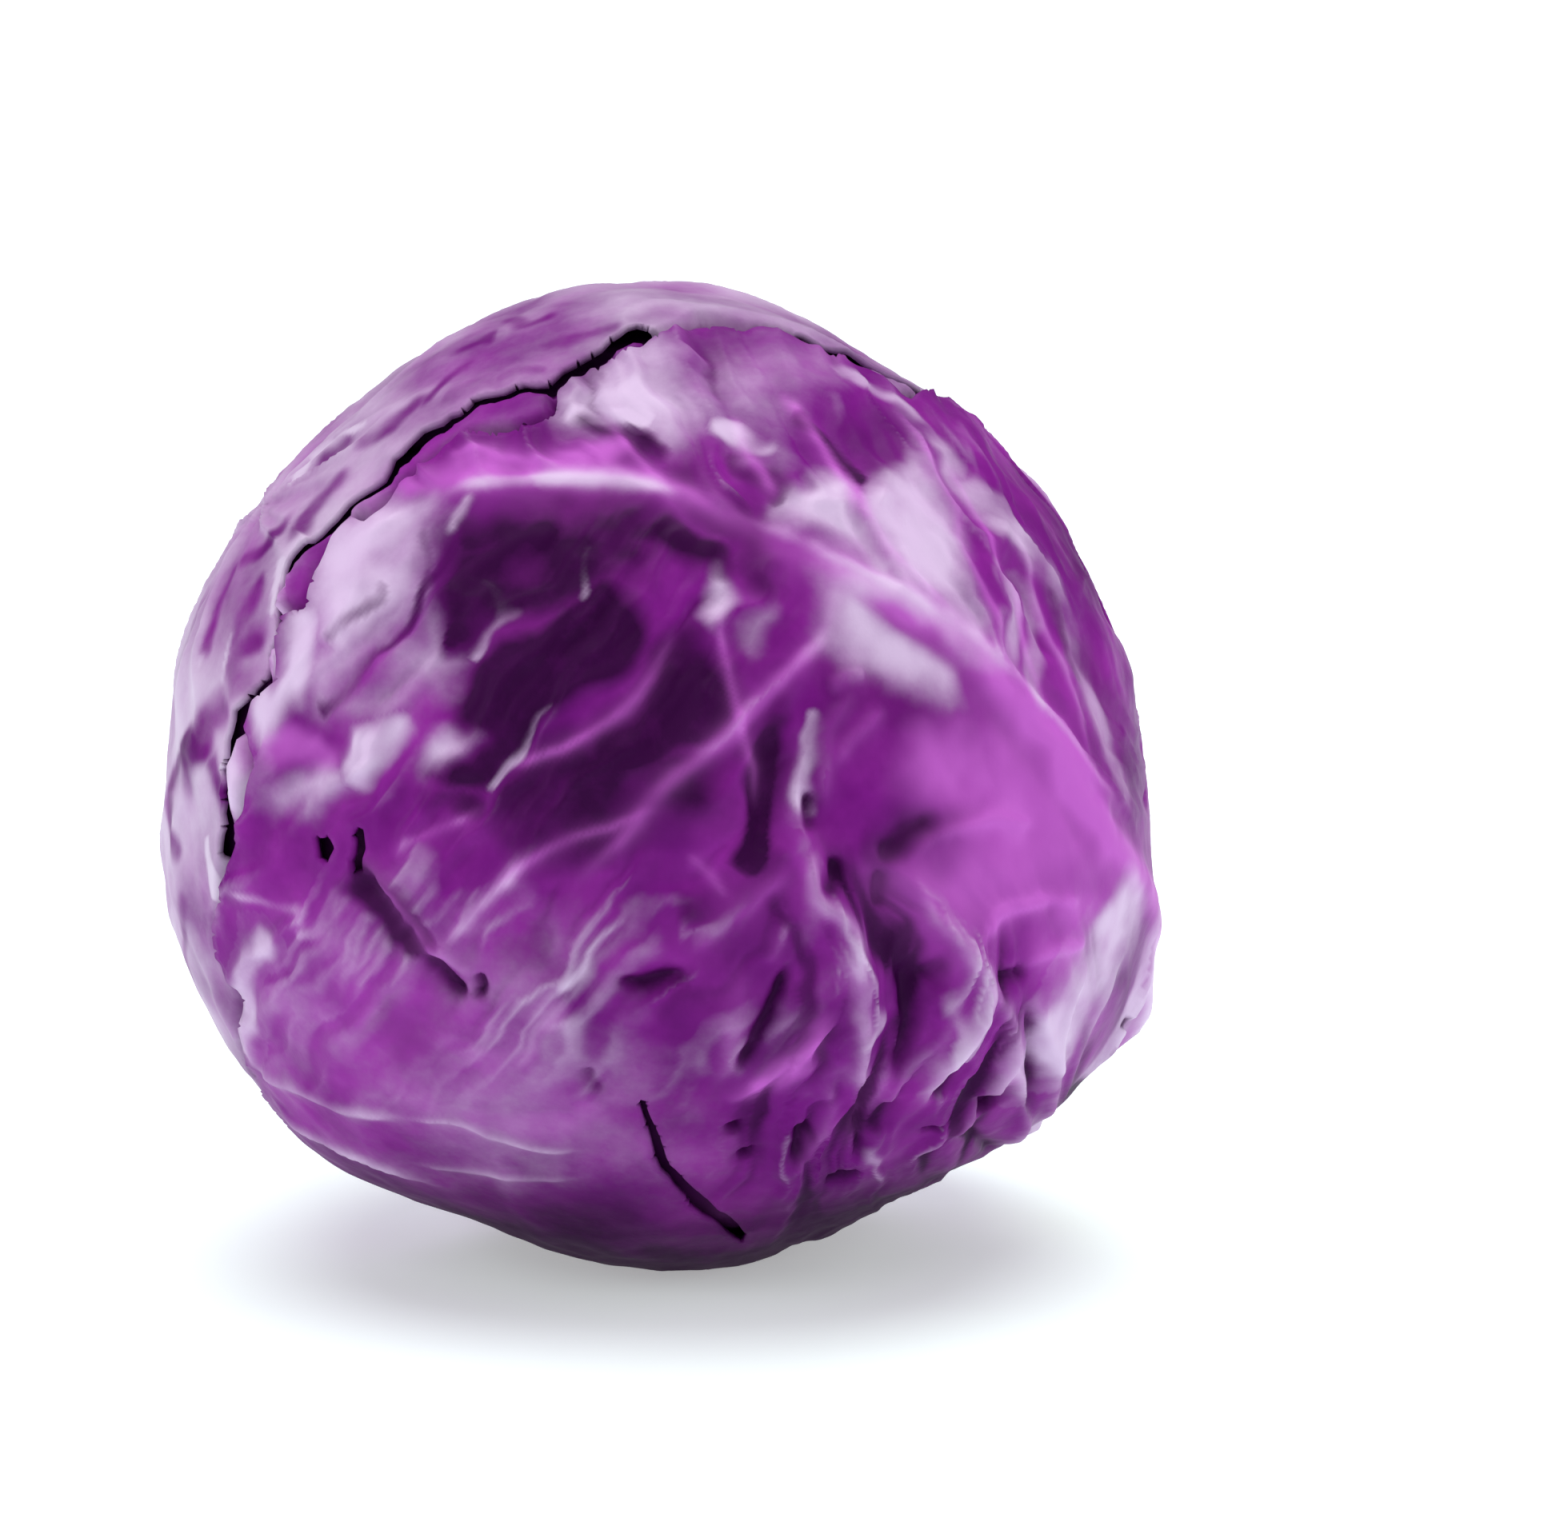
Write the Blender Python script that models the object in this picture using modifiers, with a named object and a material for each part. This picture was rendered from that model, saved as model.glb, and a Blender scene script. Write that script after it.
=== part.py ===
"""A red cabbage head lying on the small flat spot that it rests on.

It is built as it grew: a cut stem butt, the closed heart, and six wrapper leaves folded over it, each leaf
its own solid. The origin is the middle of the flat spot, +Z is up, and the head's face looks along -Y.
"""

import math

import bmesh
import bpy
import numpy as np

# Driving dimensions, in metres.
HEAD_RADIUS = 0.080
REST_HEIGHT = 0.0775  # the head's middle above the surface that it rests on
LEAF_THICKNESS = 0.0012
LEAF_GAP = 0.0014
RIB_HEIGHT = 0.0030  # how far a midrib stands out of its leaf at the stem
RIB_WIDTH = math.radians(7.0)  # the arc from the middle of a rib to its foot
RIB_END = math.radians(165.0)  # the arc from the stem to where a rib has died away
STEM_RADIUS = 0.0135
STEM_PROUD = 0.0010  # how far the cut end stands out of the leaves round it
STEM_DEPTH = 0.012  # how far the stem goes into the heart

# Driving angles, in degrees.
FACE_TILT = 10.0  # the face looks up by this much
LEAF_MIDDLE = 85.0  # from the stem to the middle of every leaf
EDGE_SHELTER = 1.0  # a leaf lifts those over it by its full thickness this far past its own edge
EDGE_RAMP = 13.0  # and those over it have come down again after this much more

STEP = LEAF_THICKNESS + LEAF_GAP
HEAD_MIDDLE = np.array([0.0, 0.0, REST_HEIGHT])

# The head's outline square to its face, in head radii, every 30 degrees from its right side upwards. The last
# is where the stem's shoulder stands out.
OUTLINE = (0.98, 0.955, 0.945, 0.99, 0.985, 0.992, 1.0, 1.035, 1.0, 1.0, 0.965, 1.06)
FACE_RADIUS = 0.98  # towards the face and the back

# The head has sagged a little over the spot that it rests on.
SAG = 0.024  # in head radii, at its most
SAG_WIDTH = math.radians(20.0)


def unit(vectors):
    return vectors / np.linalg.norm(vectors, axis=-1, keepdims=True)


def from_face(right, away, up):
    """The world direction of one given square to the face: to its right, away from it, and up it."""
    tilt = math.radians(FACE_TILT)
    world = np.array([right, away * math.cos(tilt) + up * math.sin(tilt),
                      -away * math.sin(tilt) + up * math.cos(tilt)])
    return unit(world)


STEM_AXIS = from_face(0.80, 0.23, -0.55)
FRONT_RIB = unit(np.cross(np.cross(STEM_AXIS, from_face(0.20, -0.83, 0.52)), STEM_AXIS))
ROUND_STEM = np.cross(STEM_AXIS, FRONT_RIB)
SAG_AXIS = unit(np.array([0.17, 0.0, -1.0]))


def smoothstep(x):
    x = np.clip(x, 0.0, 1.0)
    return x * x * (3 - 2 * x)


def outline_radius(turn):
    """The outline in head radii at an angle in radians, as the smooth closed curve through OUTLINE."""
    waves = np.fft.rfft(OUTLINE) / len(OUTLINE)
    total = np.full_like(turn, waves[0].real)
    for n, wave in enumerate(waves[1:-1], start=1):
        total += 2 * (wave.real * np.cos(n * turn) - wave.imag * np.sin(n * turn))
    return total


def head_surface(directions):
    """Distance from the head's middle to its outside, before the flat spot is pressed into it."""
    right, up = directions @ from_face(1, 0, 0), directions @ from_face(0, 0, 1)
    sideways = right**2 + up**2
    outline = outline_radius(np.arctan2(up, right))
    aside = np.arccos(np.clip(directions @ SAG_AXIS, -1, 1))
    sag = SAG * np.exp(-(aside / SAG_WIDTH) ** 2)
    return HEAD_RADIUS * (outline * sideways + FACE_RADIUS * (1 - sideways) + sag)


class Leaf:
    """A leaf's place on the head. Across and along are arcs in degrees from its middle, along from the stem."""

    def __init__(self, name, azimuth, edge, cells, colour, rib=None):
        self.name, self.edge, self.cells, self.colour, self.rib = name, edge, cells, colour, rib
        turn, reach = math.radians(azimuth), math.radians(LEAF_MIDDLE)
        outward = math.cos(turn) * FRONT_RIB + math.sin(turn) * ROUND_STEM
        self.middle = math.cos(reach) * STEM_AXIS + math.sin(reach) * outward
        self.along = math.cos(reach) * outward - math.sin(reach) * STEM_AXIS
        self.across = np.cross(self.along, self.middle)
        self.turns, self.reaches = self.edge_by_turn()

    def place_of(self, direction):
        """Across and along, in degrees, of a direction."""
        a, b = direction @ self.across, direction @ self.along
        arc = np.degrees(np.arccos(np.clip(direction @ self.middle, -1, 1)))
        flat = np.maximum(np.hypot(a, b), 1e-9)
        return arc * a / flat, arc * b / flat

    def direction_of(self, across, along):
        arc = np.radians(np.hypot(across, along))
        turn = np.arctan2(along, across)
        flat = np.outer(np.cos(turn), self.across) + np.outer(np.sin(turn), self.along)
        return np.sin(arc)[:, None] * flat + np.cos(arc)[:, None] * self.middle

    def edge_by_turn(self):
        """The edge as reach against turn about the leaf's middle, through its points in a smooth closed curve."""
        points = np.array([p if len(p) == 2 else self.place_of(from_face(*p)) for p in self.edge])
        before, after, next_but_one = np.roll(points, 1, 0), np.roll(points, -1, 0), np.roll(points, -2, 0)
        curve = []
        for t in np.linspace(0, 1, 8, endpoint=False):
            curve.append(0.5 * (2 * points + (after - before) * t
                                + (2 * before - 5 * points + 4 * after - next_but_one) * t**2
                                + (3 * points - before - 3 * after + next_but_one) * t**3))
        curve = np.concatenate(curve)
        turns = np.arctan2(curve[:, 1], curve[:, 0])
        order = np.argsort(turns)
        return turns[order], np.hypot(*curve.T)[order]

    def reach(self, turn):
        return np.interp(turn, self.turns, self.reaches, period=2 * math.pi)

    def cover(self, directions):
        """1 on the leaf and just round it, and 0 well clear of it."""
        across, along = self.place_of(directions)
        past = np.hypot(across, along) - self.reach(np.arctan2(along, across))
        return 1 - smoothstep((past - EDGE_SHELTER) / EDGE_RAMP)


def ovate(width, tip):
    """The edge of a whole leaf: its half width and how far its tip reaches, both from its middle, in degrees."""
    half = [(0.2 * width, -73), (0.52 * width, -58), (0.85 * width, -25), (width, 0.15 * tip),
            (0.88 * width, 0.6 * tip), (0.5 * width, 0.9 * tip)]
    return [(0, -74), *half, (0, tip), *[(-across, along) for across, along in reversed(half)]]


# The front leaf's edge. The first part shows on the face: the torn edge, from the top of the head down its left
# side and in under it. The second lies behind the head, from underneath to the stem and up again.
FRONT_EDGE = [
    (0.35, -0.33, 0.88), (0.09, -0.37, 0.92), (-0.14, -0.54, 0.83), (-0.25, -0.66, 0.71), (-0.47, -0.60, 0.65),
    (-0.60, -0.62, 0.51), (-0.71, -0.57, 0.37), (-0.79, -0.59, 0.19), (-0.83, -0.55, 0.03), (-0.86, -0.49, -0.15),
    (-0.88, -0.32, -0.34), (-0.80, -0.19, -0.58), (-0.72, 0.0, -0.70), (-0.55, 0.24, -0.80),
    (-0.25, 0.44, -0.85), (0.10, 0.52, -0.82), (-32, -98), (-16, -80), (-11, -73), (0, -72), (11, -73),
    (22, -72), (0.96, 0.27, -0.05), (0.92, 0.30, 0.25), (0.76, 0.24, 0.60), (0.55, 0.04, 0.82),
]

HEART_PURPLE = (0.20, 0.03, 0.21)
# From the heart outwards, each leaf grows a little over a third of a turn round the stem from the last.
LEAVES = [
    Leaf("heart_leaf_front", 35, ovate(86, 84), 18, (0.23, 0.035, 0.23)),
    Leaf("heart_leaf_under", 172, ovate(90, 88), 18, (0.22, 0.035, 0.24)),
    Leaf("heart_leaf_top", -51, ovate(92, 86), 20, (0.24, 0.04, 0.25)),
    Leaf("lower_wrapper_leaf", 86, ovate(98, 92), 20, (0.22, 0.04, 0.25)),
    Leaf("back_wrapper_leaf", -145, ovate(104, 118), 24, (0.27, 0.08, 0.31), rib=-145),
    Leaf("front_wrapper_leaf", 34, FRONT_EDGE, 32, (0.24, 0.03, 0.26), rib=0),
]


def layers_over(directions, first):
    """How much of the leaves from number first on lies over each place, in metres."""
    return sum(STEP * leaf.cover(directions) for leaf in LEAVES[first:]) + np.zeros(len(directions))


def shell_points(directions, first, depth=0.0):
    """Points so deep in what lies under the leaves from number first on, flat where the head rests."""
    over = layers_over(directions, first) + depth
    down = np.maximum(-directions[:, 2], 1e-6)
    pressed = (REST_HEIGHT - over) / down
    distance = np.minimum(head_surface(directions) - over, np.where(directions[:, 2] < 0, pressed, 1.0))
    return HEAD_MIDDLE + directions * distance[:, None]


def rib_height(leaf, directions):
    """How far the leaf's midrib stands out, highest at the stem and gone before the tip."""
    if leaf.rib is None:
        return np.zeros(len(directions))
    turn = math.radians(leaf.rib)
    outward = math.cos(turn) * FRONT_RIB + math.sin(turn) * ROUND_STEM
    sideways = np.arcsin(np.clip(directions @ np.cross(STEM_AXIS, outward), -1, 1))
    from_stem = np.arctan2(directions @ outward, directions @ STEM_AXIS)
    fade = np.where(from_stem > 0, 1 - smoothstep(from_stem / RIB_END), 0)
    return RIB_HEIGHT * fade * (1 - smoothstep(np.abs(sideways) / RIB_WIDTH))


def material(name, colour, roughness):
    made = bpy.data.materials.new(name)
    made.use_nodes = True
    shader = made.node_tree.nodes["Principled BSDF"]
    shader.inputs["Base Color"].default_value = (*colour, 1.0)
    shader.inputs["Roughness"].default_value = roughness
    shader.inputs["Metallic"].default_value = 0.0
    made.diffuse_color = (*colour, 1.0)
    return made


def name_active(name, collection, finish):
    """Names the active object, moves it to the collection and gives it its material."""
    made = bpy.context.active_object
    made.name = made.data.name = name
    for other in list(made.users_collection):
        other.objects.unlink(made)
    collection.objects.link(made)
    made.data.materials.append(finish)
    return made


def move_points(obj, points):
    obj.data.vertices.foreach_set("co", np.asarray(points, np.float32).ravel())
    obj.data.update()


def points_of(obj):
    found = np.empty(len(obj.data.vertices) * 3, np.float32)
    obj.data.vertices.foreach_get("co", found)
    return found.reshape(-1, 3).astype(float)


def make_leaf(leaf, number, collection):
    """A grid pulled out to the leaf's edge, draped on what lies under it and given its thickness inwards."""
    bpy.ops.mesh.primitive_grid_add(x_subdivisions=leaf.cells, y_subdivisions=leaf.cells, size=2)
    obj = name_active(leaf.name, collection, material(leaf.name, leaf.colour, 0.35))
    x, y = points_of(obj)[:, :2].T
    disc_x, disc_y = x * np.sqrt(1 - y**2 / 2), y * np.sqrt(1 - x**2 / 2)
    share, turn = np.hypot(disc_x, disc_y), np.arctan2(disc_y, disc_x)
    arc = share * leaf.reach(turn)
    directions = leaf.direction_of(arc * np.cos(turn), arc * np.sin(turn))
    rib = rib_height(leaf, directions)
    move_points(obj, shell_points(directions, number + 1, LEAF_THICKNESS))
    thickest = LEAF_THICKNESS + RIB_HEIGHT
    group = obj.vertex_groups.new(name="thickness")
    for vertex, extra in enumerate(rib):
        group.add([vertex], float((LEAF_THICKNESS + extra) / thickest), "REPLACE")
    solidify = obj.modifiers.new("blade thickness", "SOLIDIFY")
    solidify.thickness = thickest
    solidify.offset = 1.0
    solidify.vertex_group = group.name
    solidify.thickness_vertex_group = 0.0
    face_outwards(obj)
    for polygon in obj.data.polygons:
        polygon.use_smooth = True
    return obj


def face_outwards(obj):
    """Turns an open sheet's faces away from the head's middle."""
    first = obj.data.polygons[0]
    if first.normal.dot(first.center - bpy.data.objects["head_middle"].location) < 0:
        obj.data.flip_normals()


def make_heart(collection, cutters):
    """The closed heart, a sphere drawn in to the innermost leaf, with a socket that the stem grows out of."""
    bpy.ops.mesh.primitive_uv_sphere_add(segments=36, ring_count=20, radius=1)
    obj = name_active("heart", collection, material("heart", HEART_PURPLE, 0.4))
    move_points(obj, shell_points(unit(points_of(obj)), 0))
    socket = make_stem_shape("heart_socket", cutters, LEAF_GAP, None)
    socket.hide_render = True
    socket.display_type = "WIRE"
    cut = obj.modifiers.new("stem socket", "BOOLEAN")
    cut.operation = "DIFFERENCE"
    cut.object = socket
    return obj


def make_stem_shape(name, collection, clearance, finish):
    """The stem: a stout cylinder along its axis, from inside the heart to just proud of the leaves round it."""
    axis = STEM_AXIS[None, :]
    foot = np.linalg.norm(shell_points(axis, 0) - HEAD_MIDDLE) - STEM_DEPTH - clearance
    cut_end = np.linalg.norm(shell_points(axis, len(LEAVES)) - HEAD_MIDDLE) + STEM_PROUD
    middle = HEAD_MIDDLE + STEM_AXIS * (foot + cut_end) / 2
    bpy.ops.mesh.primitive_cylinder_add(vertices=28, radius=STEM_RADIUS + clearance, depth=cut_end - foot,
                                        location=middle)
    obj = name_active(name, collection, finish)
    obj.rotation_mode = "QUATERNION"
    tail = bpy.data.objects["head_middle"].location
    obj.rotation_quaternion = (obj.location - tail).to_track_quat("Z", "Y")
    return obj


def make_stem(collection):
    obj = make_stem_shape("stem_butt", collection, 0.0, material("stem_butt", (0.62, 0.50, 0.50), 0.6))
    bevel = obj.modifiers.new("worn rim", "BEVEL")
    bevel.width = 0.0012
    bevel.segments = 2
    return obj


def main():
    for obj in list(bpy.data.objects):
        bpy.data.objects.remove(obj)
    cabbage = bpy.data.collections.new("red_cabbage")
    cutters = bpy.data.collections.new("cutters")
    for collection in (cabbage, cutters):
        bpy.context.scene.collection.children.link(collection)
    middle = bpy.data.objects.new("head_middle", None)
    middle.location = HEAD_MIDDLE
    cabbage.objects.link(middle)
    make_stem(cabbage)
    make_heart(cabbage, cutters)
    for number, leaf in enumerate(LEAVES):
        make_leaf(leaf, number, cabbage)


main()
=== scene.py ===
"""The looks of a red cabbage head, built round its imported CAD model.

Every leaf is a thin sheet draped over the head in its own layer, with its rib, veins, folds and torn edge
in the mesh. Places on the head's face are given in head radii, to the right and up from its middle as it is
seen. Places round its sides and back are directions: to the right, away and up.
"""

import math

import bmesh
import bpy
import numpy as np
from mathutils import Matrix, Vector


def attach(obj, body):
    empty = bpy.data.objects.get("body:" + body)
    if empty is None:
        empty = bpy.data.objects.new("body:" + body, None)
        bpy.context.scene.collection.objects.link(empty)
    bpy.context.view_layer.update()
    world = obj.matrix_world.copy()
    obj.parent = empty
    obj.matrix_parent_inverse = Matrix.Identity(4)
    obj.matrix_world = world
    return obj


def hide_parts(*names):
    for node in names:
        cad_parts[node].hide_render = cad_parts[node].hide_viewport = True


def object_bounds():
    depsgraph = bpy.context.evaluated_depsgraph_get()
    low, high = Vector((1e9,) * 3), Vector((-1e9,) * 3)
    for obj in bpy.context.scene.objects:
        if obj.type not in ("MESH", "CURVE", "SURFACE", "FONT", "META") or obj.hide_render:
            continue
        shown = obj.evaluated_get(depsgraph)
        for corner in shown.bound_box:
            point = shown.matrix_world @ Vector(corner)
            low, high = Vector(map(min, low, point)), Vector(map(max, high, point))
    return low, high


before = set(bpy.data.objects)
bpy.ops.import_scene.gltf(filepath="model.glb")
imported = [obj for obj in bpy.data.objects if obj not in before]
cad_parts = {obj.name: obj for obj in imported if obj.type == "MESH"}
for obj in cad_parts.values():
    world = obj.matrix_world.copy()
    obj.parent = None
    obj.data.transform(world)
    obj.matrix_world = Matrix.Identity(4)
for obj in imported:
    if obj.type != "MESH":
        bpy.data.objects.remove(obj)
cad_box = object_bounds()

HEAD_HEIGHT = cad_box[1].z - cad_box[0].z
RADIUS = 0.5136 * HEAD_HEIGHT
MIDDLE = np.array([0.0, 0.0, cad_box[0].z + 0.4975 * HEAD_HEIGHT])
BLADE = 0.0125  # a leaf's thickness, in head radii
CURL_WIDTH = 0.022  # how far in from its edge a leaf curls
LAYER = 0.0325  # from the outside of one leaf to the outside of the next, in head radii
EDGE_SHELTER = 0.004
EDGE_RAMP = 0.034  # past its edge, a leaf's neighbour comes up to the same level in this much
FAR_SIDE = 0.62  # no leaf reaches so far round the head: the cosine of its angle from there to the far side

# The camera looks straight at the face from this far off, in head radii, and a little to its right.
FACE_TILT = math.radians(10.0)
EYE = np.array([0.247, -11.25, 0.028])
IMAGE_WIDTH = 3.187  # across the whole picture, in head radii


def unit(vectors):
    vectors = np.asarray(vectors, float)
    return vectors / np.linalg.norm(vectors, axis=-1, keepdims=True)


def face_to_world(vectors):
    """Turns vectors given to the face's right, away from it and up it into world ones."""
    right, away, up = np.moveaxis(np.asarray(vectors, float), -1, 0)
    c, s = math.cos(FACE_TILT), math.sin(FACE_TILT)
    return np.stack([right, away * c + up * s, -away * s + up * c], axis=-1)


def direction(place):
    """The unit direction of a place seen on the face, or of one given as right, away and up."""
    if len(place) == 3:
        return unit(face_to_world(place))
    ray = unit(np.array([place[0], 0.0, place[1]]) - EYE)
    middle = EYE @ ray
    depth = middle**2 - (EYE @ EYE - 1)
    return unit(face_to_world(EYE + ray * (-middle - math.sqrt(max(depth, 0.0)))))


def face_places(directions):
    """Where directions lie on the face as it is seen in perspective, and which of them can be seen."""
    c, s = math.cos(FACE_TILT), math.sin(FACE_TILT)
    square = directions @ np.array([[1, 0, 0], [0, c, -s], [0, s, c]]).T
    share = EYE[1] / (EYE[1] - square[:, 1])
    return (EYE + share[:, None] * (square - EYE))[:, [0, 2]], square @ EYE > 1


def smoothstep(x):
    x = np.clip(x, 0.0, 1.0)
    return x * x * (3 - 2 * x)


def smooth_curve(points, steps=6, closed=False):
    """A Catmull-Rom curve through the points."""
    points = np.asarray(points, float)
    if len(points) < 3 and not closed:
        return points
    if closed:
        padded = np.concatenate([points[-1:], points, points[:2]])
    else:
        padded = np.concatenate([2 * points[:1] - points[1:2], points, 2 * points[-1:] - points[-2:-1]])
    a, b, c, d = padded[:-3], padded[1:-2], padded[2:-1], padded[3:]
    curve = [0.5 * (2 * b + (c - a) * t + (2 * a - 5 * b + 4 * c - d) * t**2 + (3 * b - a - 3 * c + d) * t**3)
             for t in np.linspace(0, 1, steps, endpoint=False)]
    curve = np.stack(curve, axis=1).reshape(-1, points.shape[1])
    return curve if closed else np.concatenate([curve, points[-1:]])


def lattice_noise(points, size, seed=0):
    """Smooth noise from -1 to 1 with lumps of about that size."""
    scaled = points / size + 31.7 * seed
    corner = np.floor(scaled)
    share = smoothstep(scaled - corner)
    total = np.zeros(len(points))
    for x, y, z in np.ndindex(2, 2, 2):
        at = corner + (x, y, z)
        value = np.sin(at @ (127.1, 311.7, 74.7)) * 43758.5453
        weight = np.prod(np.where((x, y, z), share, 1 - share), axis=1)
        total += weight * (value - np.floor(value))
    return 2 * total - 1


def rough_noise(points, size, octaves, seed=0):
    return sum(lattice_noise(points, size / 2**n, seed + n) / 2**n for n in range(octaves))


# The head's outline square to its face, in head radii, every 15 degrees from its right side upwards.
OUTLINE = (0.98, 0.96, 0.955, 0.95, 0.945, 0.965, 0.99, 0.99, 0.985, 0.975, 0.995, 1.0,
           1.0, 1.02, 1.035, 1.035, 1.0, 0.975, 0.985, 0.97, 0.975, 1.025, 1.055, 1.02)
FACE_DEPTH = 0.98
# The head has sagged a little over the spot that it rests on.
SAG = 0.024
SAG_WIDTH = math.radians(20.0)
SAG_AXIS = unit((0.17, 0.0, -1.0))


def head_surface(directions):
    """Distance from the head's middle to its outside, in head radii."""
    right, up = directions @ face_to_world((1, 0, 0)), directions @ face_to_world((0, 0, 1))
    turn, sideways = np.arctan2(up, right), right**2 + up**2
    waves = np.fft.rfft(OUTLINE) / len(OUTLINE)
    outline = np.full_like(turn, waves[0].real)
    for n, wave in enumerate(waves[1:-1], start=1):
        outline += 2 * (wave.real * np.cos(n * turn) - wave.imag * np.sin(n * turn))
    aside = np.arccos(np.clip(directions @ SAG_AXIS, -1, 1))
    return outline * sideways + FACE_DEPTH * (1 - sideways) + SAG * np.exp(-((aside / SAG_WIDTH) ** 2))


STEM_AXIS = unit(face_to_world((0.80, 0.23, -0.55)))
STEM_REACH = math.radians(12.5)  # from its axis to the side of its socket in the heart
SOCKET_DEPTH = 0.17
FRONT_RIB = unit(np.cross(np.cross(STEM_AXIS, face_to_world((0.20, -0.83, 0.52))), STEM_AXIS))
ROUND_STEM = np.cross(STEM_AXIS, FRONT_RIB)


def from_stem(azimuth, reach):
    """The direction so many degrees round the stem from the front leaf's rib, and so many out from it."""
    turn, reach = np.radians(azimuth), np.radians(reach)
    outward = np.multiply.outer(np.cos(turn), FRONT_RIB) + np.multiply.outer(np.sin(turn), ROUND_STEM)
    return np.cos(reach)[..., None] * STEM_AXIS + np.sin(reach)[..., None] * outward


def distance_past(places, loops):
    """Distance past the loops' nearest edge, below 0 inside them, and the nearest point of that edge."""
    best, nearest = np.full(len(places), np.inf), places.copy()
    inside = np.zeros(len(places), bool)
    x, y = places.T
    for loop in loops:
        for a, b in zip(loop, np.roll(loop, -1, 0)):
            step = b - a
            share = np.clip((places - a) @ step / (step @ step + 1e-18), 0, 1)
            point = a + share[:, None] * step
            gap = np.hypot(*(places - point).T)
            closer = gap < best
            best[closer], nearest[closer] = gap[closer], point[closer]
            if a[1] != b[1]:
                inside ^= ((a[1] > y) != (b[1] > y)) & (x < a[0] + (y - a[1]) / (b[1] - a[1]) * step[0])
    return np.where(inside, -best, best), nearest


class Sheet:
    """The part of the head that a leaf covers: its edge, holes and tears, on a chart round its middle."""

    def __init__(self, middle, edge, holes=(), squeeze=0.0):
        self.middle, self.squeeze = unit(middle), squeeze
        self.across = unit(np.cross(self.middle, STEM_AXIS))
        self.along = np.cross(self.middle, self.across)
        self.loops = [np.radians(loop) if loop.shape[1] == 2 else self.chart(loop) for loop in (edge, *holes)]

    def chart(self, directions):
        """Place on the chart: true distance from its middle, drawn in towards the rim if it is squeezed."""
        a, b = directions @ self.across, directions @ self.along
        arc = np.arccos(np.clip(directions @ self.middle, -1, 1))
        if self.squeeze:
            arc = np.sin(np.minimum(self.squeeze * arc, math.pi / 2)) / self.squeeze
        return np.stack([a, b], axis=-1) * (arc / np.maximum(np.hypot(a, b), 1e-9))[..., None]

    def directions(self, places):
        reach = np.hypot(*places.T)
        arc = np.arcsin(np.clip(self.squeeze * reach, -1, 1)) / self.squeeze if self.squeeze else reach
        flat = places / np.maximum(reach, 1e-9)[:, None]
        sideways = flat[:, :1] * self.across + flat[:, 1:] * self.along
        return np.sin(arc)[:, None] * sideways + np.cos(arc)[:, None] * self.middle

    def cover(self, directions):
        """1 under the leaf, 0 clear of it and on the far side of the head."""
        past = distance_past(self.chart(directions), self.loops[:1])[0]
        this_side = smoothstep((directions @ self.middle + FAR_SIDE) / 0.04)
        return this_side * (1 - smoothstep((past - EDGE_SHELTER) / EDGE_RAMP))


def along_path(points, path):
    """Each point's distance to the path, and how far along the path it is nearest to, from 0 to 1."""
    if len(path) == 1:
        return np.linalg.norm(points - path[0], axis=1), np.full(len(points), 0.5)
    steps = np.diff(path, axis=0)
    lengths = np.linalg.norm(steps, axis=1)
    ends = np.concatenate([[0], np.cumsum(lengths)]) / lengths.sum()
    best, share = np.full(len(points), np.inf), np.zeros(len(points))
    for a, step, length, low, high in zip(path, steps, lengths, ends, ends[1:]):
        part = np.clip((points - a) @ step / length**2, 0, 1)
        gap = np.linalg.norm(points - a - part[:, None] * step, axis=1)
        closer = gap < best
        best[closer], share[closer] = gap[closer], (low + part * (high - low))[closer]
    return best, share


def strayed(directions, far, size, seed):
    """Directions moved aside unevenly, so that what is drawn over them has a natural, uneven shape."""
    aside = np.stack([rough_noise(directions, size, 3, seed + 7 * axis) for axis in range(3)], axis=1)
    return unit(directions + far * aside)


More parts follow.
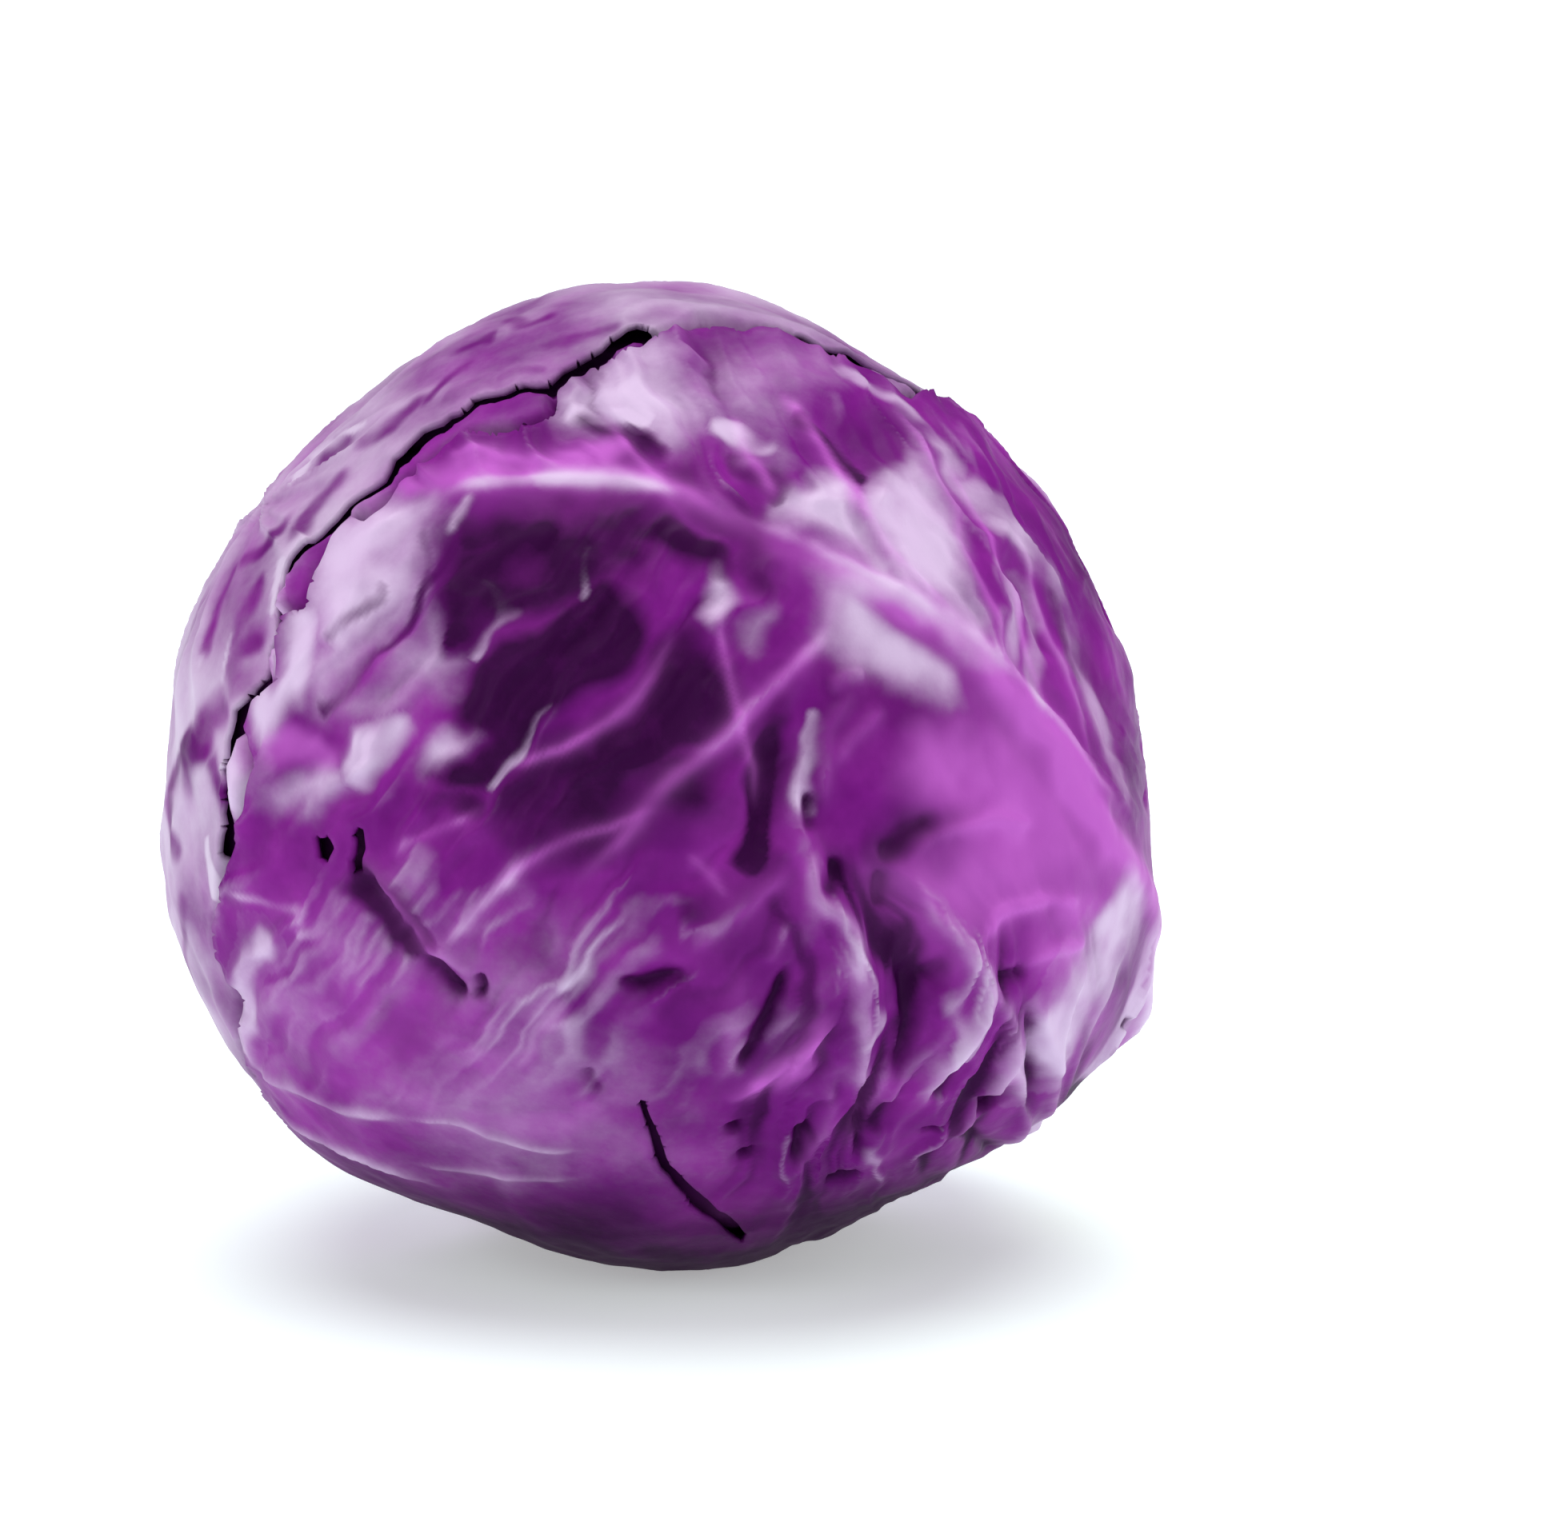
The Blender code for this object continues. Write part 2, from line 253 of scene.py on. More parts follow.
class Skin:
    """A leaf's height and tones at its points: the pale one is wax and painted highlight, deep is dark and
    painted shade, bare has no wax.
    """

    TONES = ("bloom_and_highlight", "deep", "pink", "bare")

    def __init__(self, directions, seed):
        self.directions = directions
        self.height = np.zeros(len(directions))
        self.tones = {tone: np.zeros(len(directions)) for tone in self.TONES}
        self.for_strokes = strayed(directions, 0.006, 0.09, seed + 40)
        self.for_patches = strayed(directions, 0.034, 0.15, seed + 80)
        self.face, self.seen = face_places(self.for_patches)
        self.strength = 1 + 0.45 * rough_noise(directions, 0.08, 2, seed + 60)

    def near(self, directions, path, reach):
        hub = unit(path.mean(axis=0))
        spread = np.arccos(np.clip((path @ hub).min(), -1, 1)) + 1.2 * reach
        index = np.flatnonzero(directions @ hub > math.cos(min(spread, math.pi)))
        gap, share = along_path(directions[index], path)
        close = gap < reach
        return index[close], gap[close], share[close]

    def stroke(self, width, effects, places):
        """A ridge, a vein or a groove through places on the face, which dies away at its ends."""
        self.stroke_on(width, effects, [direction(place) for place in places])

    def stroke_on(self, width, effects, directions, root=False):
        """The same through directions. From its root a vein narrows all the way."""
        index, gap, share = self.near(self.for_strokes, unit(smooth_curve(directions)), 5 * width)
        if root:
            width, fade = width * (1 - 0.75 * share), smoothstep((1 - share) / 0.15)
        else:
            width = width * (0.55 + 0.45 * np.sqrt(np.clip(4 * share * (1 - share), 0, 1)))
            fade = smoothstep(share / 0.25 + 0.1) * smoothstep((1 - share) / 0.25 + 0.1)
        crest = np.exp(-((gap / width) ** 2))
        flank = np.exp(-((gap / (2.2 * width)) ** 2))
        for name, amount in effects.items():
            if name == "height":
                self.height[index] += amount * fade * (0.6 * crest + 0.4 * flank)
            else:
                strength = fade * self.strength[index] * (0.75 * crest + 0.25 * flank)
                self.tones[name][index] += amount * strength

    def patch(self, tone, radius, amount, places):
        """A patch of one tone with an uneven rim."""
        path = unit(smooth_curve([direction(place) for place in places]))
        index, gap, _ = self.near(self.for_patches, path, 2.2 * radius)
        close = (1 - smoothstep((gap / radius - 0.2) / 1.5)) * self.strength[index]
        values = self.tones[tone]
        values[index] = np.maximum(values[index], amount * close)

    def area(self, tone, amount, fade, outline):
        """An area of one tone inside an outline on the face."""
        loop = smooth_curve(outline, steps=3, closed=True)
        hub = loop.mean(axis=0)
        reach = np.hypot(*(loop - hub).T).max() + 2 * fade
        index = np.flatnonzero(self.seen & (np.hypot(*(self.face - hub).T) < reach))
        past = distance_past(self.face[index], [loop])[0]
        close = (1 - smoothstep((past + 1.3 * fade) / (3 * fade))) * (0.5 + 0.5 * self.strength[index])
        values = self.tones[tone]
        values[index] = np.maximum(values[index], amount * close)


# Features of the front leaf, as they lie on the head's face: width, effects and places of each stroke.
MIDRIB = [
    (0.090, dict(height=0.0, pink=0.6, bloom_and_highlight=0.45), [
        (0.96, -0.10, -0.22), (0.92, 0.10, -0.35), (0.88, 0.18, -0.46), (0.82, 0.22, -0.53)]),
    (0.027, dict(height=0.012, pink=0.9, bloom_and_highlight=0.25), [
        (-0.50, 0.57), (-0.37, 0.60), (-0.21, 0.61), (-0.05, 0.60), (0.08, 0.56), (0.21, 0.50)]),
    (0.044, dict(height=0.024, pink=1.0, bloom_and_highlight=0.05), [
        (0.12, 0.54), (0.28, 0.46), (0.41, 0.39), (0.52, 0.33), (0.63, 0.25), (0.72, 0.16), (0.80, 0.06),
        (0.86, -0.05), (0.92, -0.16), (0.93, 0.10, -0.33), (0.88, 0.18, -0.47), (0.83, 0.22, -0.52)]),
    # The thin pale line along the rib's crest is a painted highlight.
    (0.016, dict(height=0.006, bloom_and_highlight=0.32, pink=0.5), [
        (0.08, 0.57), (0.21, 0.52), (0.36, 0.45), (0.51, 0.37), (0.63, 0.29), (0.75, 0.18), (0.81, 0.10),
        (0.88, -0.00), (0.94, -0.10)]),
    # The dark line below the rib is painted shadow in the groove under it.
    (0.020, dict(height=-0.006, bloom_and_highlight=-0.5, deep=0.25), [
        (0.34, 0.40), (0.46, 0.34), (0.57, 0.27), (0.66, 0.17), (0.75, 0.04), (0.82, -0.08), (0.87, -0.20)]),
]
SIDE_VEINS = [
    (0.015, dict(height=0.004, bloom_and_highlight=0.55), [
        (-0.45, 0.58), (-0.31, 0.60), (-0.16, 0.60), (-0.05, 0.59), (0.05, 0.57)]),
    (0.015, dict(height=0.006, pink=0.7, bloom_and_highlight=0.2), [
        (0.36, 0.39), (0.33, 0.29), (0.28, 0.23), (0.21, 0.16), (0.12, 0.07), (0.00, -0.03), (-0.11, -0.16),
        (-0.18, -0.24)]),
    (0.011, dict(height=0.006, pink=0.5, bloom_and_highlight=0.1), [
        (0.12, 0.36), (0.12, 0.28), (0.15, 0.16), (0.17, 0.08), (0.19, -0.01), (0.19, -0.08)]),
    (0.011, dict(height=0.005, pink=0.6), [
        (0.02, 0.31), (-0.00, 0.25), (-0.05, 0.16), (-0.17, 0.07), (-0.27, 0.03), (-0.34, 0.01)]),
    (0.010, dict(height=0.004, pink=0.6, bloom_and_highlight=0.1), [
        (0.00, -0.07), (-0.05, -0.08), (-0.16, -0.12), (-0.28, -0.18), (-0.34, -0.24)]),
    (0.010, dict(height=0.004, pink=0.4, bloom_and_highlight=0.25), [
        (-0.27, -0.17), (-0.33, -0.23), (-0.39, -0.29), (-0.44, -0.35)]),
    (0.010, dict(height=0.004, pink=0.4, bloom_and_highlight=0.15), [
        (-0.37, -0.06), (-0.41, -0.09), (-0.50, -0.13), (-0.55, -0.17)]),
    (0.010, dict(height=0.004, bloom_and_highlight=0.35), [(-0.08, -0.29), (-0.13, -0.34), (-0.16, -0.40), (-0.22, -0.46)]),
    (0.010, dict(height=0.003, pink=0.5), [(0.05, -0.16), (0.10, -0.20), (0.14, -0.25)]),
    (0.013, dict(height=0.005, pink=0.8), [(0.24, 0.56), (0.21, 0.62), (0.17, 0.67), (0.14, 0.75)]),
    (0.013, dict(height=0.005, pink=0.8), [
        (0.40, 0.53), (0.38, 0.62), (0.33, 0.70), (0.27, 0.77), (0.24, 0.81)]),
    (0.011, dict(height=0.004, pink=0.7), [
        (0.60, 0.33), (0.52, 0.41), (0.45, 0.49), (0.41, 0.58), (0.38, 0.65)]),
    (0.011, dict(height=0.004, pink=0.6), [
        (0.71, 0.24), (0.69, 0.31), (0.65, 0.41), (0.62, 0.49), (0.59, 0.59), (0.54, 0.70), (0.47, 0.78)]),
    (0.011, dict(height=0.004, pink=0.6), [
        (0.80, 0.13), (0.77, 0.24), (0.73, 0.37), (0.69, 0.47), (0.64, 0.58), (0.59, 0.67)]),
    (0.011, dict(height=0.005, pink=0.5, bloom_and_highlight=0.2), [
        (0.88, 0.01), (0.87, 0.11), (0.84, 0.23), (0.80, 0.34), (0.77, 0.44), (0.72, 0.52)]),
    (0.011, dict(height=0.004, pink=0.6), [(0.00, 0.59), (-0.05, 0.65), (-0.09, 0.71), (-0.14, 0.77)]),
    (0.011, dict(height=0.004, pink=0.5), [(-0.21, 0.62), (-0.27, 0.64), (-0.37, 0.66), (-0.44, 0.65)]),
    (0.013, dict(height=0.004, bloom_and_highlight=0.5), [(-0.39, 0.58), (-0.41, 0.53), (-0.43, 0.48)]),
    (0.010, dict(height=0.004, bloom_and_highlight=0.4, pink=0.2), [
        (-0.87, -0.23), (-0.81, -0.25), (-0.74, -0.27), (-0.70, -0.27)]),
    (0.015, dict(height=0.005, bloom_and_highlight=0.35, pink=0.3), [(-0.74, -0.25), (-0.72, -0.29), (-0.72, -0.33)]),
]
# Ridges, raised in the mesh, with painted highlights along their crests.
PLEATS = [
    (0.018, dict(height=0.027, bloom_and_highlight=0.34, pink=0.3), [
        (0.28, 0.14), (0.28, 0.05), (0.27, -0.05), (0.29, -0.15), (0.31, -0.25), (0.37, -0.31), (0.39, -0.42),
        (0.40, -0.51), (0.40, -0.60), (0.41, -0.70)]),
    (0.018, dict(height=0.027, bloom_and_highlight=0.34, pink=0.3), [
        (0.47, -0.16), (0.49, -0.20), (0.54, -0.28), (0.60, -0.34), (0.63, -0.42), (0.59, -0.51),
        (0.53, -0.61), (0.51, -0.69)]),
    (0.015, dict(height=0.022, bloom_and_highlight=0.26, pink=0.3), [
        (0.63, -0.40), (0.67, -0.46), (0.69, -0.52), (0.67, -0.61), (0.63, -0.68), (0.56, -0.74),
        (0.50, -0.77)]),
    (0.015, dict(height=0.020, bloom_and_highlight=0.30, pink=0.2), [
        (0.69, -0.57), (0.72, -0.65), (0.69, -0.72), (0.64, -0.77)]),
    (0.015, dict(height=0.019, bloom_and_highlight=0.30, pink=0.2), [
        (0.73, -0.42), (0.75, -0.51), (0.76, -0.57), (0.76, -0.70)]),
    (0.021, dict(height=0.017, bloom_and_highlight=0.11, pink=0.25), [
        (0.04, -0.37), (0.15, -0.27), (0.21, -0.23), (0.28, -0.20)]),
    (0.021, dict(height=0.017, bloom_and_highlight=0.09, pink=0.2), [
        (0.16, -0.37), (0.15, -0.47), (0.14, -0.57), (0.10, -0.65)]),
    (0.020, dict(height=0.019, pink=0.6, bloom_and_highlight=0.04), [
        (0.35, -0.47), (0.30, -0.54), (0.25, -0.60), (0.19, -0.64), (0.12, -0.68)]),
    (0.015, dict(height=0.015, bloom_and_highlight=0.15, pink=0.2), [
        (0.34, -0.62), (0.34, -0.70), (0.30, -0.78), (0.26, -0.83)]),
    (0.015, dict(height=0.015, bloom_and_highlight=0.19, pink=0.2), [
        (0.46, -0.54), (0.44, -0.62), (0.40, -0.72), (0.38, -0.79)]),
    (0.013, dict(height=0.014, bloom_and_highlight=0.15), [
        (0.57, -0.44), (0.55, -0.52), (0.49, -0.60), (0.45, -0.68), (0.43, -0.77)]),
    (0.013, dict(height=0.014, bloom_and_highlight=0.19, pink=0.2), [(0.21, -0.39), (0.24, -0.34), (0.26, -0.29)]),
    (0.011, dict(height=0.014, bloom_and_highlight=0.19), [(0.84, -0.36), (0.80, -0.44), (0.77, -0.52), (0.76, -0.59)]),
    (0.010, dict(height=0.010, bloom_and_highlight=0.19), [
        (0.91, -0.33), (0.87, -0.41), (0.82, -0.51), (0.79, -0.60), (0.78, -0.68)]),
    (0.010, dict(height=0.010, bloom_and_highlight=0.19), [(0.96, -0.36), (0.91, -0.46), (0.86, -0.55), (0.82, -0.64)]),
    (0.010, dict(height=0.010, bloom_and_highlight=0.15), [(0.98, -0.42), (0.93, -0.52), (0.88, -0.60)]),
    (0.013, dict(height=0.010, pink=0.5, bloom_and_highlight=0.08), [
        (0.50, -0.18), (0.56, -0.13), (0.63, -0.10), (0.70, -0.09), (0.77, -0.10)]),
    (0.013, dict(height=0.010, pink=0.7), [
        (0.61, -0.34), (0.65, -0.30), (0.69, -0.27), (0.77, -0.25), (0.84, -0.25)]),
    (0.013, dict(height=0.010, pink=0.7), [(0.71, -0.39), (0.73, -0.36), (0.77, -0.34), (0.84, -0.33)]),
    (0.015, dict(height=0.014, bloom_and_highlight=0.15, pink=0.3), [(0.34, 0.18), (0.38, 0.20), (0.43, 0.21)]),
    (0.013, dict(height=0.012, bloom_and_highlight=0.15, pink=0.3), [
        (0.36, 0.01), (0.39, 0.07), (0.44, 0.12), (0.47, 0.14)]),
    (0.016, dict(height=0.017, bloom_and_highlight=0.19, pink=0.2), [
        (0.33, -0.07), (0.34, 0.01), (0.35, 0.10), (0.40, 0.18)]),
    (0.021, dict(height=0.024, pink=0.45, bloom_and_highlight=0.09), [
        (-0.61, -0.15), (-0.57, -0.21), (-0.51, -0.30), (-0.44, -0.37), (-0.37, -0.42)]),
    (0.015, dict(height=0.014, bloom_and_highlight=0.34), [
        (-0.81, -0.53), (-0.78, -0.58), (-0.71, -0.62), (-0.64, -0.66), (-0.51, -0.69)]),
    (0.008, dict(height=0.009, bloom_and_highlight=0.30), [
        (-0.53, -0.69), (-0.43, -0.71), (-0.35, -0.75), (-0.26, -0.78), (-0.16, -0.79)]),
    (0.013, dict(height=0.015, bloom_and_highlight=0.45), [
        (-0.77, -0.62), (-0.72, -0.68), (-0.66, -0.72), (-0.53, -0.80), (-0.44, -0.85)]),
    (0.008, dict(height=0.007, bloom_and_highlight=0.22), [(-0.51, -0.79), (-0.40, -0.82), (-0.30, -0.84), (-0.16, -0.84)]),
]
# Grooves, sunk into the mesh, with painted shade along their floors.
VALLEYS = [
    (0.021, dict(height=-0.033, deep=1.0), [(0.49, -0.36), (0.50, -0.44), (0.49, -0.53), (0.47, -0.61)]),
    (0.013, dict(height=-0.030, deep=1.0), [(0.26, -0.38), (0.24, -0.44), (0.20, -0.52), (0.15, -0.61)]),
    (0.011, dict(height=-0.030, deep=1.1), [(0.41, -0.60), (0.41, -0.68), (0.40, -0.79)]),
    (0.016, dict(height=-0.036, deep=1.1), [(0.59, -0.56), (0.57, -0.60), (0.55, -0.65)]),
    (0.018, dict(height=-0.060, deep=1.3), [(0.66, -0.63), (0.65, -0.68)]),
    (0.013, dict(height=-0.054, deep=1.3), [(0.56, -0.70), (0.55, -0.72)]),
    (0.016, dict(height=-0.030, deep=0.9), [(0.47, -0.65), (0.45, -0.68), (0.43, -0.73)]),
    (0.013, dict(height=-0.030, deep=1.0), [(0.29, -0.71), (0.28, -0.75), (0.28, -0.80)]),
    (0.011, dict(height=-0.033, deep=0.8), [(0.14, -0.73), (0.15, -0.75)]),
    (0.011, dict(height=-0.033, deep=0.8), [(0.17, -0.78), (0.18, -0.80)]),
    (0.011, dict(height=-0.030, deep=1.1), [(0.34, -0.85), (0.38, -0.83), (0.41, -0.82)]),
    (0.015, dict(height=-0.024, deep=0.8), [(0.66, -0.41), (0.69, -0.40), (0.72, -0.39)]),
    (0.015, dict(height=-0.030, deep=0.9), [(0.72, -0.44), (0.73, -0.52), (0.73, -0.60), (0.72, -0.68)]),
    (0.013, dict(height=-0.021, deep=0.8), [(0.31, -0.03), (0.30, -0.07), (0.30, -0.12)]),
    (0.023, dict(height=-0.021, deep=0.9), [(0.23, 0.10), (0.21, -0.02), (0.20, -0.12), (0.19, -0.19)]),
    (0.016, dict(height=-0.021, deep=0.6), [(0.33, -0.25), (0.34, -0.21), (0.36, -0.16)]),
    (0.020, dict(height=-0.021, deep=0.9), [(0.44, -0.17), (0.49, -0.13), (0.55, -0.10), (0.58, -0.09)]),
    (0.015, dict(height=-0.015, deep=0.7), [(0.43, -0.28), (0.44, -0.23), (0.45, -0.18)]),
    (0.018, dict(height=-0.024, deep=0.9), [(-0.10, -0.41), (-0.05, -0.43), (0.02, -0.42), (0.07, -0.44)]),
    (0.015, dict(height=-0.014, deep=0.4), [(-0.16, -0.61), (-0.15, -0.63), (-0.13, -0.67)]),
    (0.029, dict(height=-0.036, deep=1.0), [(-0.63, -0.20), (-0.57, -0.25), (-0.53, -0.31), (-0.47, -0.37)]),
    (0.015, dict(height=-0.030, deep=1.0), [(-0.48, -0.36), (-0.44, -0.42), (-0.39, -0.46)]),
    (0.010, dict(height=-0.027, deep=1.0), [(-0.38, -0.41), (-0.37, -0.44), (-0.38, -0.46)]),
    (0.011, dict(height=-0.015, deep=0.6), [(-0.53, -0.27), (-0.48, -0.32), (-0.44, -0.37)]),
    (0.010, dict(height=-0.021, deep=0.9), [(0.92, -0.48), (0.91, -0.51)]),
    (0.013, dict(height=-0.018, deep=0.6), [(0.60, -0.70), (0.63, -0.73), (0.67, -0.76)]),
    (0.020, dict(height=-0.018, deep=0.5), [(0.52, -0.41), (0.55, -0.38), (0.57, -0.37)]),
]
# Areas of one tone: the tone, its amount, how far its rim fades, and its outline.
# The pale areas are wax with painted reflections of the lights; the dark areas near the middle are dark flesh
# with painted shade.
AREAS = [
    ("bloom_and_highlight", 0.96, 0.058, [
        (-0.58, 0.54), (-0.47, 0.55), (-0.47, 0.51), (-0.52, 0.43), (-0.54, 0.37), (-0.60, 0.34),
        (-0.64, 0.28), (-0.68, 0.28), (-0.71, 0.33), (-0.70, 0.39), (-0.65, 0.47), (-0.61, 0.50)]),
    ("bloom_and_highlight", 0.66, 0.054, [
        (-0.52, 0.41), (-0.50, 0.37), (-0.54, 0.33), (-0.61, 0.26), (-0.67, 0.17), (-0.69, 0.14),
        (-0.71, 0.20), (-0.68, 0.26), (-0.61, 0.34), (-0.56, 0.38)]),
    ("bloom_and_highlight", 0.46, 0.047, [
        (-0.44, 0.35), (-0.43, 0.30), (-0.42, 0.26), (-0.39, 0.26), (-0.43, 0.19), (-0.46, 0.15),
        (-0.52, 0.13), (-0.58, 0.10), (-0.64, 0.11), (-0.66, 0.14), (-0.61, 0.17), (-0.56, 0.21),
        (-0.54, 0.27), (-0.50, 0.30), (-0.46, 0.35)]),
    ("bloom_and_highlight", 0.80, 0.025, [
        (-0.63, 0.08), (-0.54, 0.10), (-0.52, 0.08), (-0.55, 0.05), (-0.60, 0.02), (-0.62, -0.02),
        (-0.65, 0.00)]),
    ("bloom_and_highlight", 0.60, 0.025, [
        (-0.48, 0.00), (-0.47, 0.07), (-0.40, 0.11), (-0.36, 0.10), (-0.40, 0.07), (-0.45, 0.02)]),
    ("bloom_and_highlight", 0.92, 0.029, [
        (-0.75, 0.31), (-0.72, 0.31), (-0.71, 0.20), (-0.72, 0.16), (-0.76, 0.14), (-0.80, 0.08),
        (-0.82, 0.10), (-0.82, 0.15), (-0.77, 0.19), (-0.76, 0.25)]),
    ("bloom_and_highlight", 0.70, 0.036, [
        (-0.80, -0.03), (-0.74, 0.01), (-0.66, 0.02), (-0.66, -0.03), (-0.70, -0.06), (-0.72, -0.10),
        (-0.74, -0.06)]),
    ("bloom_and_highlight", 0.95, 0.040, [
        (0.25, 0.56), (0.27, 0.60), (0.30, 0.62), (0.34, 0.61), (0.36, 0.56), (0.39, 0.53), (0.42, 0.49),
        (0.46, 0.43), (0.40, 0.47), (0.33, 0.50), (0.27, 0.54)]),
    ("bloom_and_highlight", 0.95, 0.047, [
        (0.42, 0.60), (0.49, 0.62), (0.54, 0.63), (0.59, 0.60), (0.59, 0.53), (0.60, 0.46), (0.60, 0.39),
        (0.63, 0.32), (0.59, 0.35), (0.53, 0.40), (0.48, 0.44), (0.44, 0.52)]),
    ("bloom_and_highlight", 0.80, 0.054, [
        (-0.21, 0.78), (-0.14, 0.82), (-0.06, 0.85), (0.03, 0.85), (0.06, 0.80), (0.08, 0.73), (0.01, 0.67),
        (-0.06, 0.71), (-0.14, 0.74)]),
    ("bloom_and_highlight", 0.42, 0.072, [
        (0.03, 0.85), (0.16, 0.89), (0.26, 0.90), (0.34, 0.87), (0.37, 0.84), (0.32, 0.81), (0.26, 0.79),
        (0.27, 0.70), (0.23, 0.64), (0.19, 0.68), (0.13, 0.72), (0.08, 0.73), (0.06, 0.80)]),
    ("bloom_and_highlight", 1.00, 0.065, [
        (0.37, 0.37), (0.43, 0.37), (0.50, 0.32), (0.56, 0.27), (0.61, 0.23), (0.60, 0.20), (0.53, 0.20),
        (0.47, 0.23), (0.40, 0.28)]),
    ("bloom_and_highlight", 0.80, 0.025, [
        (0.11, 0.44), (0.14, 0.40), (0.15, 0.35), (0.13, 0.30), (0.10, 0.33), (0.09, 0.39)]),
    ("bloom_and_highlight", 0.45, 0.029, [(0.19, 0.33), (0.23, 0.35), (0.22, 0.30), (0.18, 0.26)]),
    ("deep", 1.10, 0.036, [
        (-0.36, 0.23), (-0.27, 0.28), (-0.20, 0.37), (-0.13, 0.42), (-0.08, 0.37), (-0.05, 0.28),
        (-0.08, 0.21), (-0.13, 0.16), (-0.21, 0.11), (-0.30, 0.04), (-0.34, -0.00), (-0.43, -0.00),
        (-0.47, 0.01), (-0.40, 0.05), (-0.36, 0.08), (-0.42, 0.11), (-0.43, 0.16)]),
    ("deep", 1.10, 0.036, [
        (0.05, 0.30), (-0.02, 0.26), (-0.06, 0.13), (-0.13, 0.07), (-0.14, 0.01), (-0.11, -0.05),
        (-0.05, -0.03), (0.00, 0.01), (0.05, 0.04), (0.10, 0.08), (0.14, 0.14), (0.13, 0.21), (0.09, 0.28)]),
    ("deep", 1.00, 0.054, [
        (-0.44, 0.47), (-0.31, 0.55), (-0.11, 0.57), (-0.03, 0.45), (-0.14, 0.40), (-0.27, 0.32),
        (-0.39, 0.27), (-0.44, 0.34)]),
    ("deep", 0.85, 0.048, [
        (-0.29, 0.01), (-0.14, 0.05), (0.08, 0.06), (0.12, -0.07), (-0.05, -0.15), (-0.21, -0.18),
        (-0.31, -0.10)]),
    ("deep", 0.30, 0.036, [
        (0.37, 0.73), (0.44, 0.76), (0.51, 0.74), (0.55, 0.68), (0.53, 0.64), (0.47, 0.62), (0.40, 0.61),
        (0.37, 0.67)]),
    ("deep", 0.12, 0.036, [
        (0.60, 0.59), (0.70, 0.60), (0.77, 0.53), (0.81, 0.44), (0.80, 0.39), (0.75, 0.42), (0.70, 0.49),
        (0.63, 0.53)]),
    ("deep", 0.40, 0.031, [
        (0.33, 0.25), (0.42, 0.26), (0.49, 0.19), (0.59, 0.14), (0.56, 0.08), (0.49, 0.08), (0.38, 0.11),
        (0.34, 0.08), (0.32, 0.15)]),
    ("deep", 0.55, 0.022, [
        (0.44, -0.12), (0.54, -0.08), (0.65, -0.06), (0.58, -0.13), (0.48, -0.19), (0.44, -0.18)]),
    ("deep", 0.85, 0.019, [
        (-0.60, -0.19), (-0.56, -0.22), (-0.48, -0.35), (-0.51, -0.36), (-0.59, -0.29), (-0.66, -0.25),
        (-0.64, -0.23)]),
    ("pink", 0.75, 0.060, [
        (0.65, 0.05), (0.76, 0.07), (0.83, -0.11), (0.85, -0.25), (0.72, -0.25), (0.61, -0.32), (0.58, -0.32),
        (0.49, -0.21), (0.58, -0.16), (0.65, -0.09)]),
    ("pink", 0.22, 0.072, [
        (-0.81, -0.34), (-0.70, -0.29), (-0.44, -0.47), (-0.21, -0.59), (-0.11, -0.73), (-0.44, -0.70),
        (-0.66, -0.60), (-0.78, -0.51)]),
]
# Patches of one tone along a path: radius, amount and places.
# Pale patches: wax, and painted highlights and reflections on the face.
BLOOM_AND_HIGHLIGHT_PATCHES = [
    (0.016, 0.95, [(-0.23, 0.12), (-0.28, 0.07), (-0.33, -0.00)]),
    (0.011, 0.95, [(-0.17, 0.48), (-0.17, 0.44), (-0.17, 0.39)]),
    (0.036, 0.85, [(-0.15, 0.76), (-0.09, 0.75), (-0.05, 0.73)]),
    (0.028, 0.70, [(0.13, 0.73), (0.19, 0.70)]),
    (0.032, 0.36, [(0.70, 0.42), (0.73, 0.32), (0.73, 0.25)]),
    (0.032, 0.36, [(0.75, 0.39), (0.78, 0.32), (0.78, 0.19)]),
    (0.030, 0.45, [(0.37, 0.85), (0.49, 0.79), (0.59, 0.68), (0.66, 0.56), (0.77, 0.46)]),
    (0.016, 0.60, [(-0.39, 0.43), (-0.34, 0.39), (-0.32, 0.32), (-0.34, 0.28), (-0.37, 0.25)]),
    (0.033, 0.50, [(-0.81, -0.52), (-0.82, -0.42), (-0.80, -0.34)]),
    (0.060, 0.40, [(0.96, -0.29), (0.93, -0.46), (0.83, -0.60), (0.77, -0.70)]),
    (0.020, 0.60, [(0.30, 0.11), (0.30, 0.01), (0.31, -0.07)]),
    (0.066, 0.42, [(0.65, 0.60), (0.75, 0.50), (0.83, 0.37), (0.90, 0.18), (0.94, 0.01)]),
    (0.070, 0.55, [(0.93, -0.26), (0.85, -0.39), (0.75, -0.54)]),
]
